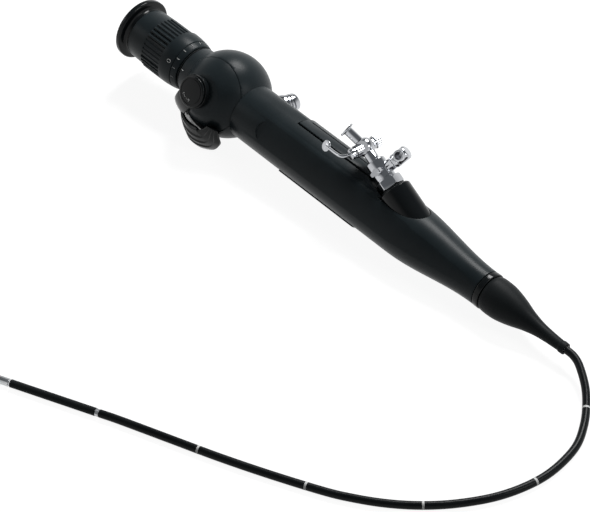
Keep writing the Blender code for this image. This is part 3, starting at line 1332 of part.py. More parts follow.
def make_tip():
    start = joint_distance(LINKS) + 0.0006
    end = joint_distance(LINKS) + TIP_LENGTH
    tip = turned("distal_tip", [(start, TUBE_RADIUS), (end - 0.0005, TUBE_RADIUS), (end, TUBE_RADIUS - 0.0004)],
                 white_polymer, None, CHAIN_START, CHAIN_ALONG, FINE_STEPS, parent=None)
    sideways = UP.cross(CHAIN_ALONG)
    depth = 0.0022

    def well(name, across, height, radius):
        spot = chain_point(end) + sideways * across + UP * height
        cut(tip, rod(name, spot - CHAIN_ALONG * depth, spot + CHAIN_ALONG * 0.001, radius, steps=SMALL_STEPS,
                     parent=None))
        return spot

    lens_radius = 0.00050
    lens_spot = well("lens_well_cutter", 0.0, 0.00080, lens_radius + SMALL_GAP)
    rod("objective_lens", lens_spot - CHAIN_ALONG * (depth - SMALL_GAP), lens_spot - CHAIN_ALONG * SMALL_GAP,
        lens_radius, glass, SMALL_STEPS, parent=None)
    well("outlet_cutter", 0.0, -0.00072, 0.00060)


def shade_round_pieces():
    for item in parts.objects:
        if item.type == "MESH":
            item.data.shade_smooth()
            item.data.set_sharp_from_angle(angle=math.radians(35.0))


make_eyepiece_cup()
make_eyepiece_tube()
make_window()
make_ocular()
make_focus_ring()
make_focus_seal()
make_ball_housing()
make_side_cover()
make_lever_shaft()
make_wire_drum()
make_lever()
make_handle_shell()
make_pad("front_pad", 1)
make_pad("back_pad", -1)
make_light_post()
make_port_boss()
make_port_nut()
make_adaptor()
make_luer_port()
make_suction_branch()
make_tap()
make_valve()
make_chassis()
make_pull_wires()
make_bundles()
make_boot()
make_insertion_tube()
make_bending_section()
make_tip()
shade_round_pieces()
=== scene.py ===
"""Looks of the flexible endoscope: fine surfaces, materials, light and camera.

Most of the named sizes are the solid model's, in metres and degrees. The others belong to detail that
only the surfaces have. The handle's own axes are the model's: +X from the eyepiece to the boot, -Y to
the lever hub, +Z to the ports.
"""
import bisect
import math

import bmesh
import bpy
from mathutils import Matrix, Vector


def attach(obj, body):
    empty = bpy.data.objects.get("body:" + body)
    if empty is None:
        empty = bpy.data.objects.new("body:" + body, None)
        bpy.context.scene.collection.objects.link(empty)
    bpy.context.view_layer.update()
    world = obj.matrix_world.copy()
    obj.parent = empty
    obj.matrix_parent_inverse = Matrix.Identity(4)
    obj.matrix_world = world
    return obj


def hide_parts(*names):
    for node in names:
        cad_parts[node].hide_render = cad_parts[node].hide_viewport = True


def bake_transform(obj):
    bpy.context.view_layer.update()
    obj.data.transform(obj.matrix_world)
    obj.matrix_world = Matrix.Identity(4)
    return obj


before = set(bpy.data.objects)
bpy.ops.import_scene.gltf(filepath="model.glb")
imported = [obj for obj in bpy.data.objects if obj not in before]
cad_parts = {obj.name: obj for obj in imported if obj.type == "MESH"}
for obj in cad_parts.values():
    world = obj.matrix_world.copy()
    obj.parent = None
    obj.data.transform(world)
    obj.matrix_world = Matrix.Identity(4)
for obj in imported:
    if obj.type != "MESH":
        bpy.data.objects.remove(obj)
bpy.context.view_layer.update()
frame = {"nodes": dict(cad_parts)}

STEPS = 96
FINE_STEPS = 48
SEAT_GAP = 0.0003
RUNNING_GAP = 0.0002
SMALL_GAP = 0.0001

BALL_RADIUS = 0.0215
BALL_WALL = 0.0020
SPLIT_PLANE = 0.0115
HUB_FLAT_DEPTH = 0.0023
HUB_FLAT = BALL_RADIUS - HUB_FLAT_DEPTH
LEVER_AXIS_X = -0.0035
HUB_RADIUS = 0.0083
HUB_BOTTOM = HUB_FLAT + 0.0003
HUB_TOP = HUB_BOTTOM + 0.0028
HUB_CAP_RADIUS = 0.0077
HUB_CAP_THICKNESS = 0.0018
COVER_BOSS_RADIUS = 0.0051
COVER_HOLE_RADIUS = 0.0037
LEVER_GAP = 0.0005
LEVER_HALF_SWING = math.radians(20.0)
PADDLE_START_ANGLE = -138.0
PADDLE_SPAN_ANGLE = 101.0
LIP_THICKNESS = 0.0011
ARROW_RADIUS = 0.0042
NECK_START_X = -0.0232
NECK_RADIUS = 0.0122
COVER_LOW_X = -0.0169
COVER_HIGH_X = 0.0172
SPIGOT_END_X = 0.0206

RIM_X = -0.0660
RIM_RADIUS = 0.01588
RIM_THICKNESS = 0.0030
CUP_MOUTH_RADIUS = 0.0128
CUP_NECK_RADIUS = 0.0121
EYE_TUBE_RADIUS = 0.0110
EYE_TUBE_BORE = 0.0096
FOCUS_START_X = -0.0600
FOCUS_END_X = -0.0245
RIB_START_X = -0.0490
RIB_END_X = -0.0360
FOCUS_RADIUS = 0.0134
RIB_HEIGHT = 0.0006
DIAL_END_X = -0.0284
DIAL_ANGLE = 85.0
RIB_GROUPS = 3
RIBS_PER_GROUP = 8
RIB_PITCH_DEG = 9.5
RIB_PHASE_DEG = 33.0

GRIP_RADIUS = 0.0140
GRIP_BORE = 0.0122
GRIP_WALL = 0.0018
TAPER_START_X = 0.1210
GRIP_END_X = 0.1730
GRIP_END_RADIUS = 0.0090
FLAT_DISTANCE = 0.0126
FLAT_START_X = 0.0330
FLAT_ANGLE = 84.0
FLAT_HALF_WIDTH = 0.0063
FLAT_ARCH = 0.0065
PAD_LENGTH = 0.0500
PAD_TO_PORT = 0.0427
PAD_RISE = 0.0006
PAD_DEPTH = 0.0010
PAD_HALF_ANGLE = 25.0
PAD_SLOT_WIDTH = 0.0007
SPIGOT_RADIUS = GRIP_BORE - SEAT_GAP

POST_X = 0.0232
POST_ANGLE = 22.5
POST_RADIUS = 0.0060
POST_STEM_RADIUS = 0.0040
POST_START = 0.0100
POST_LENGTH = 0.0228
POST_TIP_RADIUS = 0.0043
FIBRE_RADIUS = 0.0020

PORT_LEAN = 17.0
PORT_ANGLE = 25.0
PORT_CROSSING_X = 0.1417
BOSS_RADIUS = 0.0080
BOSS_START = 0.0135
COLLAR_WALL = 0.0014
BOSS_END = 0.0344
GASKET_THICKNESS = 0.0008
NUT_FLATS = 0.0114
NUT_HEIGHT = 0.0044
ADAPTOR_RADIUS = 0.00485
ADAPTOR_LENGTH = 0.0148
NECK_TUBE_RADIUS = 0.0029
HEAD_DISTANCE = 0.0585
HEAD_RADIUS = 0.0046
HEAD_FACET = 0.0034
CHANNEL_RADIUS = 0.0009
LUER_LENGTH = 0.0121
LUER_RADIUS = 0.0022
LUER_BORE = 0.00155
LUER_FLANGE_RADIUS = 0.0037
LUER_TURN = 16.7
TAP_AXIS_TILT = 17.0
TAP_BARREL_RADIUS = 0.0030
TAP_BARREL_START = -0.0056
TAP_BARREL_END = 0.0042
TAP_PLUG_RADIUS = 0.0017
TAP_HUB_START = -0.0088
TAP_HUB_RADIUS = 0.0026
TAP_LEVER_REACH = 0.0140
TAP_LEVER_ANGLE = -36.0
TAP_LEVER_CRANK = 0.0048
TAP_PADDLE_RADIUS = 0.0027
TAP_NUT_RADIUS = 0.0033
TAP_NUT_LENGTH = 0.0040
BRANCH_DISTANCE = 0.0445
BRANCH_LEAN = 25.0
BRANCH_RADIUS = 0.0034
BRANCH_LENGTH = 0.0162
SOCKET_DISTANCE = 0.0128
SOCKET_RADIUS = 0.0026
SOCKET_BORE = 0.00185
SOCKET_LENGTH = 0.0047
VALVE_TILT = 26.6
VALVE_PLUG_RADIUS = 0.0014
WING_LENGTH = 0.0064
WING_WIDTH = 0.0022
WING_THICKNESS = 0.0016

RING_LENGTH = 0.0030
FERRULE_X = 0.1840
FERRULE_LENGTH = 0.0160
FERRULE_RADIUS = 0.0034
FERRULE_HEAD_RADIUS = 0.0044
BOOT_TIP_X = 0.2222
TUBE_RADIUS = 0.00185
MARK_SPACING = 0.0500
MARK_OFFSET = 0.0016
MARK_HALF_WIDTH = 0.0005

HANDLE_PITCH = math.asin(0.0603)
HANDLE_ROLL = math.radians(27.75)
HANDLE_X = -0.0776
HANDLE_Y = 0.0011
CHAIN_HEADING = math.radians(-157.5)
LINKS = 8
LINK_PITCH = 0.0050
BASE_LENGTH = 0.0040
SLEEVE_WALL = 0.00028
TIP_LENGTH = 0.0062

TUBE_ROUTE = (
    (0.2267, -0.0002, 0.00755), (0.2320, -0.0022, 0.00655), (0.2410, -0.0083, 0.00460),
    (0.2484, -0.0157, 0.00300), (0.2546, -0.0241, 0.00210), (0.2599, -0.0343, 0.00190),
    (0.2624, -0.0458, 0.00190), (0.2628, -0.0577, 0.00190), (0.2607, -0.0696, 0.00190),
    (0.2567, -0.0809, 0.00190), (0.2508, -0.0916, 0.00190), (0.2438, -0.1014, 0.00190),
    (0.2356, -0.1103, 0.00190), (0.2265, -0.1181, 0.00190), (0.2166, -0.1249, 0.00190),
    (0.2060, -0.1309, 0.00190), (0.1839, -0.1410, 0.00190), (0.1619, -0.1501, 0.00190),
    (0.1394, -0.1585, 0.00190), (0.1168, -0.1669, 0.00190), (0.1075, -0.1707, 0.00190),
)

PHOTO_WIDTH = 590.0
FOCAL_PIXELS = 2400.0
SENSOR_WIDTH = 36.0
CAMERA_PLACE = (0.61013, -0.59630, 0.75032)
CAMERA_FORWARD = (-0.538675, 0.502685, -0.676118)
CAMERA_RIGHT = (0.682261, 0.731108, 0.0)
FLOOR_GLOW = 0.92
SKY_ON_DULL = 0.12

X_AXIS = Vector((1.0, 0.0, 0.0))
UP = Vector((0.0, 0.0, 1.0))
HUB_SIDE = Vector((0.0, -1.0, 0.0))
LEVER_CENTRE = Vector((LEVER_AXIS_X, 0.0, 0.0))
STAND = Vector((HANDLE_X, HANDLE_Y, 0.0))
HANDLE = (
    Matrix.Translation((HANDLE_X, HANDLE_Y, BALL_RADIUS))
    @ Matrix.Rotation(HANDLE_PITCH, 4, "Y")
    @ Matrix.Rotation(-HANDLE_ROLL, 4, "X")
)
CHAIN_START = Vector(TUBE_ROUTE[-1]) + STAND
CHAIN_ALONG = Vector((math.cos(CHAIN_HEADING), math.sin(CHAIN_HEADING), 0.0))


# Materials

def node_material(name):
    surface = bpy.data.materials.new(name)
    surface.use_nodes = True
    tree = surface.node_tree
    return surface, tree, tree.nodes["Principled BSDF"]


def plug(tree, socket, value):
    """Gives a socket its value, or joins it to another node's output."""
    if isinstance(value, bpy.types.NodeSocket):
        tree.links.new(value, socket)
    else:
        socket.default_value = value


def fill(tree, node, **inputs):
    for name, value in inputs.items():
        plug(tree, node.inputs[name.replace("_", " ")], value)
    return node


def add(tree, kind, **inputs):
    return fill(tree, tree.nodes.new("ShaderNode" + kind), **inputs)


def calculate(tree, operation, first, second):
    node = add(tree, "Math")
    node.operation = operation
    plug(tree, node.inputs[0], first)
    plug(tree, node.inputs[1], second)
    return node.outputs["Value"]


def noise(tree, scale, detail):
    position = add(tree, "TexCoord").outputs["Object"]
    return add(tree, "TexNoise", Scale=scale, Detail=detail, Vector=position).outputs["Fac"]


def spread(tree, value, low, high):
    """Maps a noise value to a range."""
    change = add(tree, "MapRange", Value=value, From_Min=0.3, From_Max=0.7, To_Min=low, To_Max=high)
    return change.outputs["Result"]


def tint(tree, value, first, last, low=0.3, high=0.7):
    """Turns a value into a colour between two."""
    ramp = add(tree, "ValToRGB", Fac=value)
    for element, position, colour in zip(ramp.color_ramp.elements, (low, high), (first, last)):
        element.position = position
        element.color = (*colour, 1.0)
    return ramp.outputs["Color"]


def worn_material(name, dark, light, smooth, rough, metallic=0.0, grain=2500.0, bump=0.15, cloud=60.0,
                  specular=0.5):
    """A surface whose colour and gloss wander slowly, with a fine grain."""
    surface, tree, shader = node_material(name)
    slow = noise(tree, cloud, 3.0)
    relief = add(tree, "Bump", Strength=bump, Distance=0.0001, Height=noise(tree, grain, 5.0))
    fill(tree, shader, Base_Color=tint(tree, slow, dark, light), Roughness=spread(tree, slow, smooth, rough),
         Metallic=metallic, Specular_IOR_Level=specular, Normal=relief.outputs["Normal"])
    return surface


def glass_material():
    surface, tree, shader = node_material("coated_glass")
    slow = noise(tree, 90.0, 2.0)
    fill(tree, shader, Base_Color=tint(tree, slow, (0.02, 0.025, 0.035), (0.03, 0.04, 0.05)),
         Roughness=spread(tree, slow, 0.03, 0.06), Coat_Weight=0.6)
    return surface


def seen_directly(tree):
    """1 for rays from the camera, in reflections and through glass, and 0 for diffuse light."""
    rays = add(tree, "LightPath").outputs
    mirrored = calculate(tree, "MAXIMUM", rays["Is Camera Ray"], rays["Is Glossy Ray"])
    return calculate(tree, "MAXIMUM", mirrored, rays["Is Transmission Ray"])


def floor_material():
    surface, tree, shader = node_material("pale_floor")
    fill(tree, shader, Base_Color=(0.22, 0.22, 0.22, 1.0), Roughness=0.9, Specular_IOR_Level=0.1)
    strength = calculate(tree, "MULTIPLY", seen_directly(tree), FLOOR_GLOW)
    light = add(tree, "Emission", Color=(1.0, 1.0, 1.0, 1.0), Strength=strength)
    total = add(tree, "AddShader")
    tree.links.new(shader.outputs["BSDF"], total.inputs[0])
    tree.links.new(light.outputs["Emission"], total.inputs[1])
    tree.links.new(total.outputs["Shader"], tree.nodes["Material Output"].inputs["Surface"])
    return surface


satin = worn_material("satin_black", (0.0150, 0.0210, 0.0240), (0.0200, 0.0275, 0.0310), 0.31, 0.38,
                      bump=0.05, specular=0.11)
gloss = worn_material("gloss_black", (0.0060, 0.0078, 0.0088), (0.0090, 0.0110, 0.0122), 0.14, 0.20,
                      grain=900.0, bump=0.012, specular=0.16)
rubber = worn_material("rubber_black", (0.0085, 0.0105, 0.0115), (0.0125, 0.0150, 0.0160), 0.42, 0.55,
                       grain=4200.0, bump=0.20, specular=0.08)
skin = worn_material("tube_skin", (0.0055, 0.0070, 0.0078), (0.0085, 0.0105, 0.0115), 0.26, 0.36,
                     grain=1600.0, bump=0.05, specular=0.10)
chrome = worn_material("polished_chrome", (0.44, 0.45, 0.47), (0.52, 0.53, 0.55), 0.07, 0.12, metallic=1.0,
                       grain=600.0, bump=0.004, cloud=90.0)
turned_steel = worn_material("turned_steel", (0.42, 0.43, 0.44), (0.55, 0.56, 0.57), 0.22, 0.34, metallic=1.0,
                             grain=2500.0, bump=0.12)
plain_aluminium = worn_material("plain_aluminium", (0.55, 0.56, 0.57), (0.68, 0.69, 0.70), 0.30, 0.42,
                                metallic=1.0, grain=2200.0, bump=0.10)
bearing_bronze = worn_material("bearing_bronze", (0.40, 0.26, 0.11), (0.55, 0.38, 0.18), 0.30, 0.42,
                               metallic=1.0, grain=2200.0, bump=0.10)
sheath = worn_material("pale_sheath", (0.66, 0.65, 0.62), (0.76, 0.75, 0.72), 0.38, 0.52, grain=1800.0)
mark_paint = worn_material("mark_paint", (0.60, 0.61, 0.60), (0.72, 0.73, 0.72), 0.40, 0.55, grain=1800.0,
                           bump=0.05)
fibre_face = worn_material("fibre_face", (0.62, 0.58, 0.46), (0.80, 0.77, 0.66), 0.18, 0.30, grain=6000.0)
coated_glass = glass_material()

SLOTS = {
    "satin_black": "black_satin",
    "gloss_black": "black_gloss",
    "rubber_black": "black_rubber",
    "polished_chrome": "chrome",
    "coated_glass": "glass",
}


# Shapes

def axes_matrix(along, across=None):
    along = Vector(along).normalized()
    if across is None:
        return Vector((0.0, 0.0, 1.0)).rotation_difference(along).to_matrix().to_4x4()
    across = Vector(across)
    across = (across - along * across.dot(along)).normalized()
    return Matrix((across, along.cross(across), along)).transposed().to_4x4()


def placed(origin, along, across=None):
    return HANDLE @ Matrix.Translation(Vector(origin)) @ axes_matrix(along, across)


def new_object(name, mesh, matrix):
    item = bpy.data.objects.new(name, mesh)
    bpy.context.scene.collection.objects.link(item)
    item.matrix_world = matrix
    return item


def as_object(name, shape, matrix):
    mesh = bpy.data.meshes.new(name)
    shape.to_mesh(mesh)
    shape.free()
    return new_object(name, mesh, matrix)


def closed_object(name, shape, matrix):
    """An object whose faces all look outward."""
    bmesh.ops.recalc_face_normals(shape, faces=shape.faces)
    return as_object(name, shape, matrix)


def soften(points, edge, closed):
    """Rounds each corner of a profile that has room for it."""
    count = len(points)
    result = []
    for index, point in enumerate(points):
        here = Vector(point)
        if not closed and index in (0, count - 1):
            result.append(point)
            continue
        before = Vector(points[index - 1])
        after = Vector(points[(index + 1) % count])
        room = min((before - here).length, (after - here).length) * 0.45
        size = min(edge, room)
        bend = (here - before).angle(after - here, 0.0)
        if bend < 0.35 or size < 0.00003:
            result.append(point)
            continue
        start = here + (before - here).normalized() * size
        end = here + (after - here).normalized() * size
        for share in (0.0, 0.33, 0.67, 1.0):
            blend = start * (1 - share) ** 2 + here * 2 * share * (1 - share) + end * share ** 2
            result.append(tuple(blend))
    return result


def turned(name, outer, bore=None, origin=(0, 0, 0), along=X_AXIS, steps=STEPS, across=None, edge=0.00022):
    """A turned piece with small rounded edges. Profiles hold (distance, radius), low end first."""
    loop = [(radius, height) for height, radius in reversed(outer)]
    if bore:
        loop += [(radius, height) for height, radius in bore]
    else:
        if outer[-1][1] > 1e-7:
            loop.insert(0, (0.0, outer[-1][0]))
        if outer[0][1] > 1e-7:
            loop.append((0.0, outer[0][0]))
    if edge > 0:
        loop = soften(loop, edge, bool(bore))
    shape = bmesh.new()
    rows = []
    for radius, height in loop:
        if radius < 1e-7:
            rows.append([shape.verts.new((0.0, 0.0, height))])
            continue
        row = []
        for step in range(steps):
            angle = math.tau * step / steps
            row.append(shape.verts.new((radius * math.cos(angle), radius * math.sin(angle), height)))
        rows.append(row)
    pairs = list(zip(rows, rows[1:]))
    if bore:
        pairs.append((rows[-1], rows[0]))
    for first, second in pairs:
        for step in range(steps):
            after = (step + 1) % steps
            if len(first) == 1:
                shape.faces.new((first[0], second[step], second[after]))
            elif len(second) == 1:
                shape.faces.new((first[step], second[0], first[after]))
            else:
                shape.faces.new((first[step], second[step], second[after], first[after]))
    return closed_object(name, shape, placed(origin, along, across))


def rod(name, start, end, radius, steps=FINE_STEPS):
    start = Vector(start)
    run = Vector(end) - start
    return turned(name, [(0.0, radius), (run.length, radius)], None, start, run, steps, edge=0.0)


def rod_along(name, base, along, low, high, radius, steps=FINE_STEPS):
    return rod(name, base + along * low, base + along * high, radius, steps)


def block(name, low, high):
    corners = (Vector(low), Vector(high))
    low = Vector([min(pair) for pair in zip(*corners)])
    high = Vector([max(pair) for pair in zip(*corners)])
    shape = bmesh.new()
    bmesh.ops.create_cube(shape, size=1.0)
    bmesh.ops.scale(shape, vec=high - low, verts=shape.verts)
    bmesh.ops.translate(shape, vec=(high + low) / 2, verts=shape.verts)
    return as_object(name, shape, HANDLE)


def prism(name, outline, length, origin, along=X_AXIS, across=(0, 1, 0)):
    shape = bmesh.new()
    face = shape.faces.new([shape.verts.new((a, b, 0.0)) for a, b in outline])
    raised = bmesh.ops.extrude_face_region(shape, geom=[face])["geom"]
    moved = [part for part in raised if isinstance(part, bmesh.types.BMVert)]
    bmesh.ops.translate(shape, vec=(0.0, 0.0, length), verts=moved)
    return closed_object(name, shape, placed(origin, along, across))


def loft(name, rings, origin=(0, 0, 0)):
    shape = bmesh.new()
    rows = [[shape.verts.new(point) for point in ring] for ring in rings]
    count = len(rings[0])
    for first, second in zip(rows, rows[1:]):
        for index in range(count):
            after = (index + 1) % count
            shape.faces.new((first[index], first[after], second[after], second[index]))
    shape.faces.new(rows[0])
    shape.faces.new(rows[-1])
    return closed_object(name, shape, HANDLE @ Matrix.Translation(Vector(origin)))


def evaluated_mesh(item):
    bpy.context.view_layer.update()
    depsgraph = bpy.context.evaluated_depsgraph_get()
    return bpy.data.meshes.new_from_object(item.evaluated_get(depsgraph))


def settle(item):
    """Applies every modifier."""
    mesh = evaluated_mesh(item)
    item.modifiers.clear()
    item.data = mesh
    return item


def combine(item, tools, operation):
    for tool in tools:
        change = item.modifiers.new(operation.lower(), "BOOLEAN")
        change.operation = operation
        change.solver = "EXACT"
        change.object = tool
    settle(item)
    for tool in tools:
        bpy.data.objects.remove(tool, do_unlink=True)
    return item


def cut(item, *tools):
    return combine(item, tools, "DIFFERENCE")


def join(item, *tools):
    return combine(item, tools, "UNION")


def meet(item, *tools):
    return combine(item, tools, "INTERSECT")


def round_edges(item, width, angle=35.0, segments=2):
    bevel = item.modifiers.new("round", "BEVEL")
    bevel.width = width
    bevel.segments = segments
    bevel.limit_method = "ANGLE"
    bevel.angle_limit = math.radians(angle)
    bevel.use_clamp_overlap = True
    return settle(item)


def dress(item, surface, *nodes, body="handle", slot=None, sharp=32.0):
    """Gives a piece its material and its body, and lets it stand for its solids."""
    item.data.transform(item.matrix_world)
    item.matrix_world = Matrix.Identity(4)
    item.data.materials.clear()
    item.data.materials.append(surface)
    item.data.shade_smooth()
    item.data.set_sharp_from_angle(angle=math.radians(sharp))
    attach(item, body)
    if nodes:
        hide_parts(*nodes)
    slot = slot or SLOTS.get(surface.name)
    return item


def curve_through(points, fineness=24):
    points = [Vector(point) for point in points]
    ends = [points[0] * 2 - points[1]] + points + [points[-1] * 2 - points[-2]]
    fine = []
    for a, b, c, d in zip(ends, ends[1:], ends[2:], ends[3:]):
        for step in range(fineness):
            t = step / fineness
            fine.append(0.5 * (2 * b + (c - a) * t + (2 * a - 5 * b + 4 * c - d) * t ** 2
                               + (3 * b - 3 * c + d - a) * t ** 3))
    fine.append(points[-1])
    return fine


def running_lengths(path):
    runs = [0.0]
    for first, second in zip(path, path[1:]):
        runs.append(runs[-1] + (second - first).length)
    return runs


def spot_on_path(path, runs, distance):
    """A point at a distance along a path, and the direction there."""
    index = min(max(bisect.bisect_left(runs, distance) - 1, 0), len(runs) - 2)
    share = (distance - runs[index]) / (runs[index + 1] - runs[index])
    first, second = path[index], path[index + 1]
    return first.lerp(second, min(share, 1.0)), (second - first).normalized()


def even_path(points, count):
    fine = curve_through(points)
    runs = running_lengths(fine)
    return [spot_on_path(fine, runs, runs[-1] * number / (count - 1))[0] for number in range(count)]


def wire(name, path, radius, space=HANDLE, resolution=6):
    line = bpy.data.curves.new(name, "CURVE")
    line.dimensions = "3D"
    spline = line.splines.new("POLY")
    spline.points.add(len(path) - 1)
    for target, point in zip(spline.points, path):
        target.co = (*point, 1.0)
    line.bevel_depth = radius
    line.bevel_resolution = resolution
    line.use_fill_caps = True
    return new_object(name, line, space)


def wire_mesh(name, path, radius):
    item = wire(name + "_line", path, radius)
    mesh = evaluated_mesh(item)
    shape = bmesh.new()
    shape.from_mesh(mesh)
    bpy.data.meshes.remove(mesh)
    bmesh.ops.remove_doubles(shape, verts=shape.verts, dist=0.000002)
    bpy.data.objects.remove(item, do_unlink=True)
    return closed_object(name, shape, HANDLE)


def arc(radius, start, end, steps):
    first = math.acos(max(-1.0, min(1.0, start / radius)))
    last = math.acos(max(-1.0, min(1.0, end / radius)))
    points = []
    for step in range(steps + 1):
        angle = first + (last - first) * step / steps
        points.append((radius * math.cos(angle), radius * math.sin(angle)))
    return points


def around_grip(radius, angle):
    return (-radius * math.sin(math.radians(angle)), radius * math.cos(math.radians(angle)))


def lean(first, second, degrees):
    angle = math.radians(degrees)
    return first * math.cos(angle) + second * math.sin(angle)


# Eyepiece

CUP_SEAT_X = RIM_X + 0.0026
CUP_END_X = FOCUS_START_X - 0.0004


def make_eyepiece():
    shoulder = RIM_X + RIM_THICKNESS
    outer = [
        (RIM_X, RIM_RADIUS - 0.0005),
        (RIM_X + 0.0005, RIM_RADIUS),
        (shoulder - 0.0005, RIM_RADIUS),
        (shoulder, RIM_RADIUS - 0.0005),
        (shoulder + 0.0003, CUP_NECK_RADIUS + 0.0012),
        (shoulder + 0.0009, CUP_NECK_RADIUS + 0.0003),
        (shoulder + 0.0017, CUP_NECK_RADIUS),
        (CUP_END_X, CUP_NECK_RADIUS),
    ]
    seat = EYE_TUBE_RADIUS + SEAT_GAP
    bore = [
        (RIM_X, CUP_MOUTH_RADIUS),
        (RIM_X + 0.0020, EYE_TUBE_BORE + 0.0006),
        (CUP_SEAT_X, EYE_TUBE_BORE),
        (CUP_SEAT_X, seat),
        (CUP_END_X, seat),
    ]
    dress(turned("eyepiece_rim", outer, bore), gloss, "eyepiece_cup")
    radius = EYE_TUBE_BORE - RUNNING_GAP
    start = RIM_X + 0.0058
    ring = turned("window_retainer", [(start, radius), (start + 0.0009, radius)],
                  [(start, radius - 0.0014), (start + 0.0009, radius - 0.0010)], edge=0.0001)
    for side in (1, -1):
        cut(ring, block("spanner_slot", (start - 0.001, side * (radius - 0.0016), -0.0004),
                        (start + 0.0004, side * (radius + 0.001), 0.0004)))
    dress(ring, gloss, "window_ring")
    start += 0.0011
    glass = turned("window_glass", [(start, radius), (start + 0.0018, radius)], edge=0.0001)
    dress(glass, coated_glass, "ocular_window")


def rib_angle(group, number):
    offset = number - (RIBS_PER_GROUP - 1) / 2
    return math.tau * group / RIB_GROUPS + math.radians(RIB_PHASE_DEG + offset * RIB_PITCH_DEG)


def make_focus_ring():
    edge = 0.0004
    outer = [
        (FOCUS_START_X, FOCUS_RADIUS - 0.0008),
        (FOCUS_START_X + edge, FOCUS_RADIUS - 0.0003),
        (RIB_START_X - edge, FOCUS_RADIUS),
        (RIB_END_X, FOCUS_RADIUS),
        (RIB_END_X, FOCUS_RADIUS + RIB_HEIGHT),
        (RIB_END_X + 0.0030, FOCUS_RADIUS + RIB_HEIGHT - 0.0001),
        (DIAL_END_X, FOCUS_RADIUS),
        (DIAL_END_X + 0.0002, FOCUS_RADIUS - 0.0005),
        (DIAL_END_X + 0.0006, FOCUS_RADIUS - 0.0005),
        (DIAL_END_X + 0.0006, FOCUS_RADIUS - 0.0001),
        (FOCUS_END_X - edge, NECK_RADIUS + 0.0003),
        (FOCUS_END_X, NECK_RADIUS - 0.0002),
    ]
    inner = EYE_TUBE_RADIUS + RUNNING_GAP
    ring = turned("focus_ring_body", outer, [(FOCUS_START_X, inner), (FOCUS_END_X, inner)])
    grooves = []
    for group in range(RIB_GROUPS):
        for number in range(RIBS_PER_GROUP + 1):
            angle = rib_angle(group, number - 0.5)
            spot = Matrix.Rotation(-angle, 4, "X") @ Vector((0, 0, FOCUS_RADIUS + 0.0003))
            grooves.append(rod_along("groove", spot, X_AXIS, RIB_START_X, RIB_END_X, 0.0007, 12))
    cut(ring, *grooves)
    dress(ring, satin, "focus_ring", body="focus")
    shape = bmesh.new()
    bar = 0.00062
    length = RIB_END_X - RIB_START_X
    distance = FOCUS_RADIUS + RIB_HEIGHT - bar
    for group in range(RIB_GROUPS):
        for number in range(RIBS_PER_GROUP):
            turn = Matrix.Rotation(rib_angle(group, number), 4, "Z")
            bmesh.ops.create_cone(shape, cap_ends=True, segments=16, radius1=bar, radius2=bar, depth=length,
                                  matrix=turn @ Matrix.Translation((distance, 0, length / 2)))
            for end in (0.0, length):
                bmesh.ops.create_uvsphere(shape, u_segments=16, v_segments=8, radius=bar,
                                          matrix=turn @ Matrix.Translation((distance, 0, end)))
    dress(as_object("focus_ribs", shape, placed((RIB_START_X, 0, 0), X_AXIS, UP)), satin, body="focus")


def make_dial_marks():
    """A plain nought and short ticks on the ring, and one index tick on the neck."""
    ring = []
    middle = DIAL_END_X - 0.0023
    for step in range(33):
        turn = math.tau * step / 32
        along = 0.0010 * math.cos(turn)
        radius = FOCUS_RADIUS + 0.0003 - 0.11 * along
        angle = DIAL_ANGLE + math.degrees(0.0008 * math.sin(turn) / radius)
        ring.append((middle + along, *around_grip(radius, angle)))
    dress(wire_mesh("dial_nought", ring, 0.00015), mark_paint, body="focus")
    for number in range(-3, 4):
        angle = DIAL_ANGLE - 37.0 + 22.0 * number
        line = [(DIAL_END_X + 0.0009, *around_grip(FOCUS_RADIUS - 0.0001, angle)),
                (DIAL_END_X + 0.0023, *around_grip(FOCUS_RADIUS - 0.0005, angle))]
        dress(wire_mesh(f"dial_tick_{number + 4}", line, 0.00013), mark_paint, body="focus")
    spot = around_grip(NECK_RADIUS + 0.00005, DIAL_ANGLE)
    line = [(NECK_START_X + 0.0004, *spot), (NECK_START_X + 0.0020, *spot)]
    dress(wire_mesh("dial_index", line, 0.00013), mark_paint)


def make_focus_seal():
    minor = 0.0004
    major = EYE_TUBE_RADIUS + SMALL_GAP + minor
    middle = (FOCUS_END_X + NECK_START_X) / 2
    loop = [(middle + minor * math.sin(math.tau * step / 12), major + minor * math.cos(math.tau * step / 12))
            for step in range(12)]
    seal = turned("focus_o_ring", loop[9:] + loop[:4], loop[4:9][::-1], edge=0.0)
    dress(seal, rubber, "focus_seal")


# Ball housing, cover and lever

def ball_shell(name):
    inner_ball = BALL_RADIUS - BALL_WALL
    neck_meet = -math.sqrt(BALL_RADIUS ** 2 - NECK_RADIUS ** 2)
    spigot_meet = math.sqrt(BALL_RADIUS ** 2 - SPIGOT_RADIUS ** 2)
    tube_hole = EYE_TUBE_RADIUS + SEAT_GAP
    spigot_bore = SPIGOT_RADIUS - 0.0014
    hole_meet = -math.sqrt(inner_ball ** 2 - tube_hole ** 2)
    bore_meet = math.sqrt(inner_ball ** 2 - spigot_bore ** 2)
    outer = [(NECK_START_X, NECK_RADIUS - 0.0004), (NECK_START_X + 0.0003, NECK_RADIUS)]
    outer += arc(BALL_RADIUS, neck_meet, spigot_meet, 40)
    outer += [(SPIGOT_END_X, SPIGOT_RADIUS)]
    bore = [(NECK_START_X, tube_hole)]
    bore += arc(inner_ball, hole_meet, bore_meet, 20)
    bore += [(SPIGOT_END_X, spigot_bore)]
    return turned(name, outer, bore, edge=0.0)


def post_hole():
    return rod_along("post_hole", Vector((POST_X, 0, 0)), POST_OUT, 0.0, GRIP_RADIUS + 0.004,
                     POST_STEM_RADIUS + SEAT_GAP)


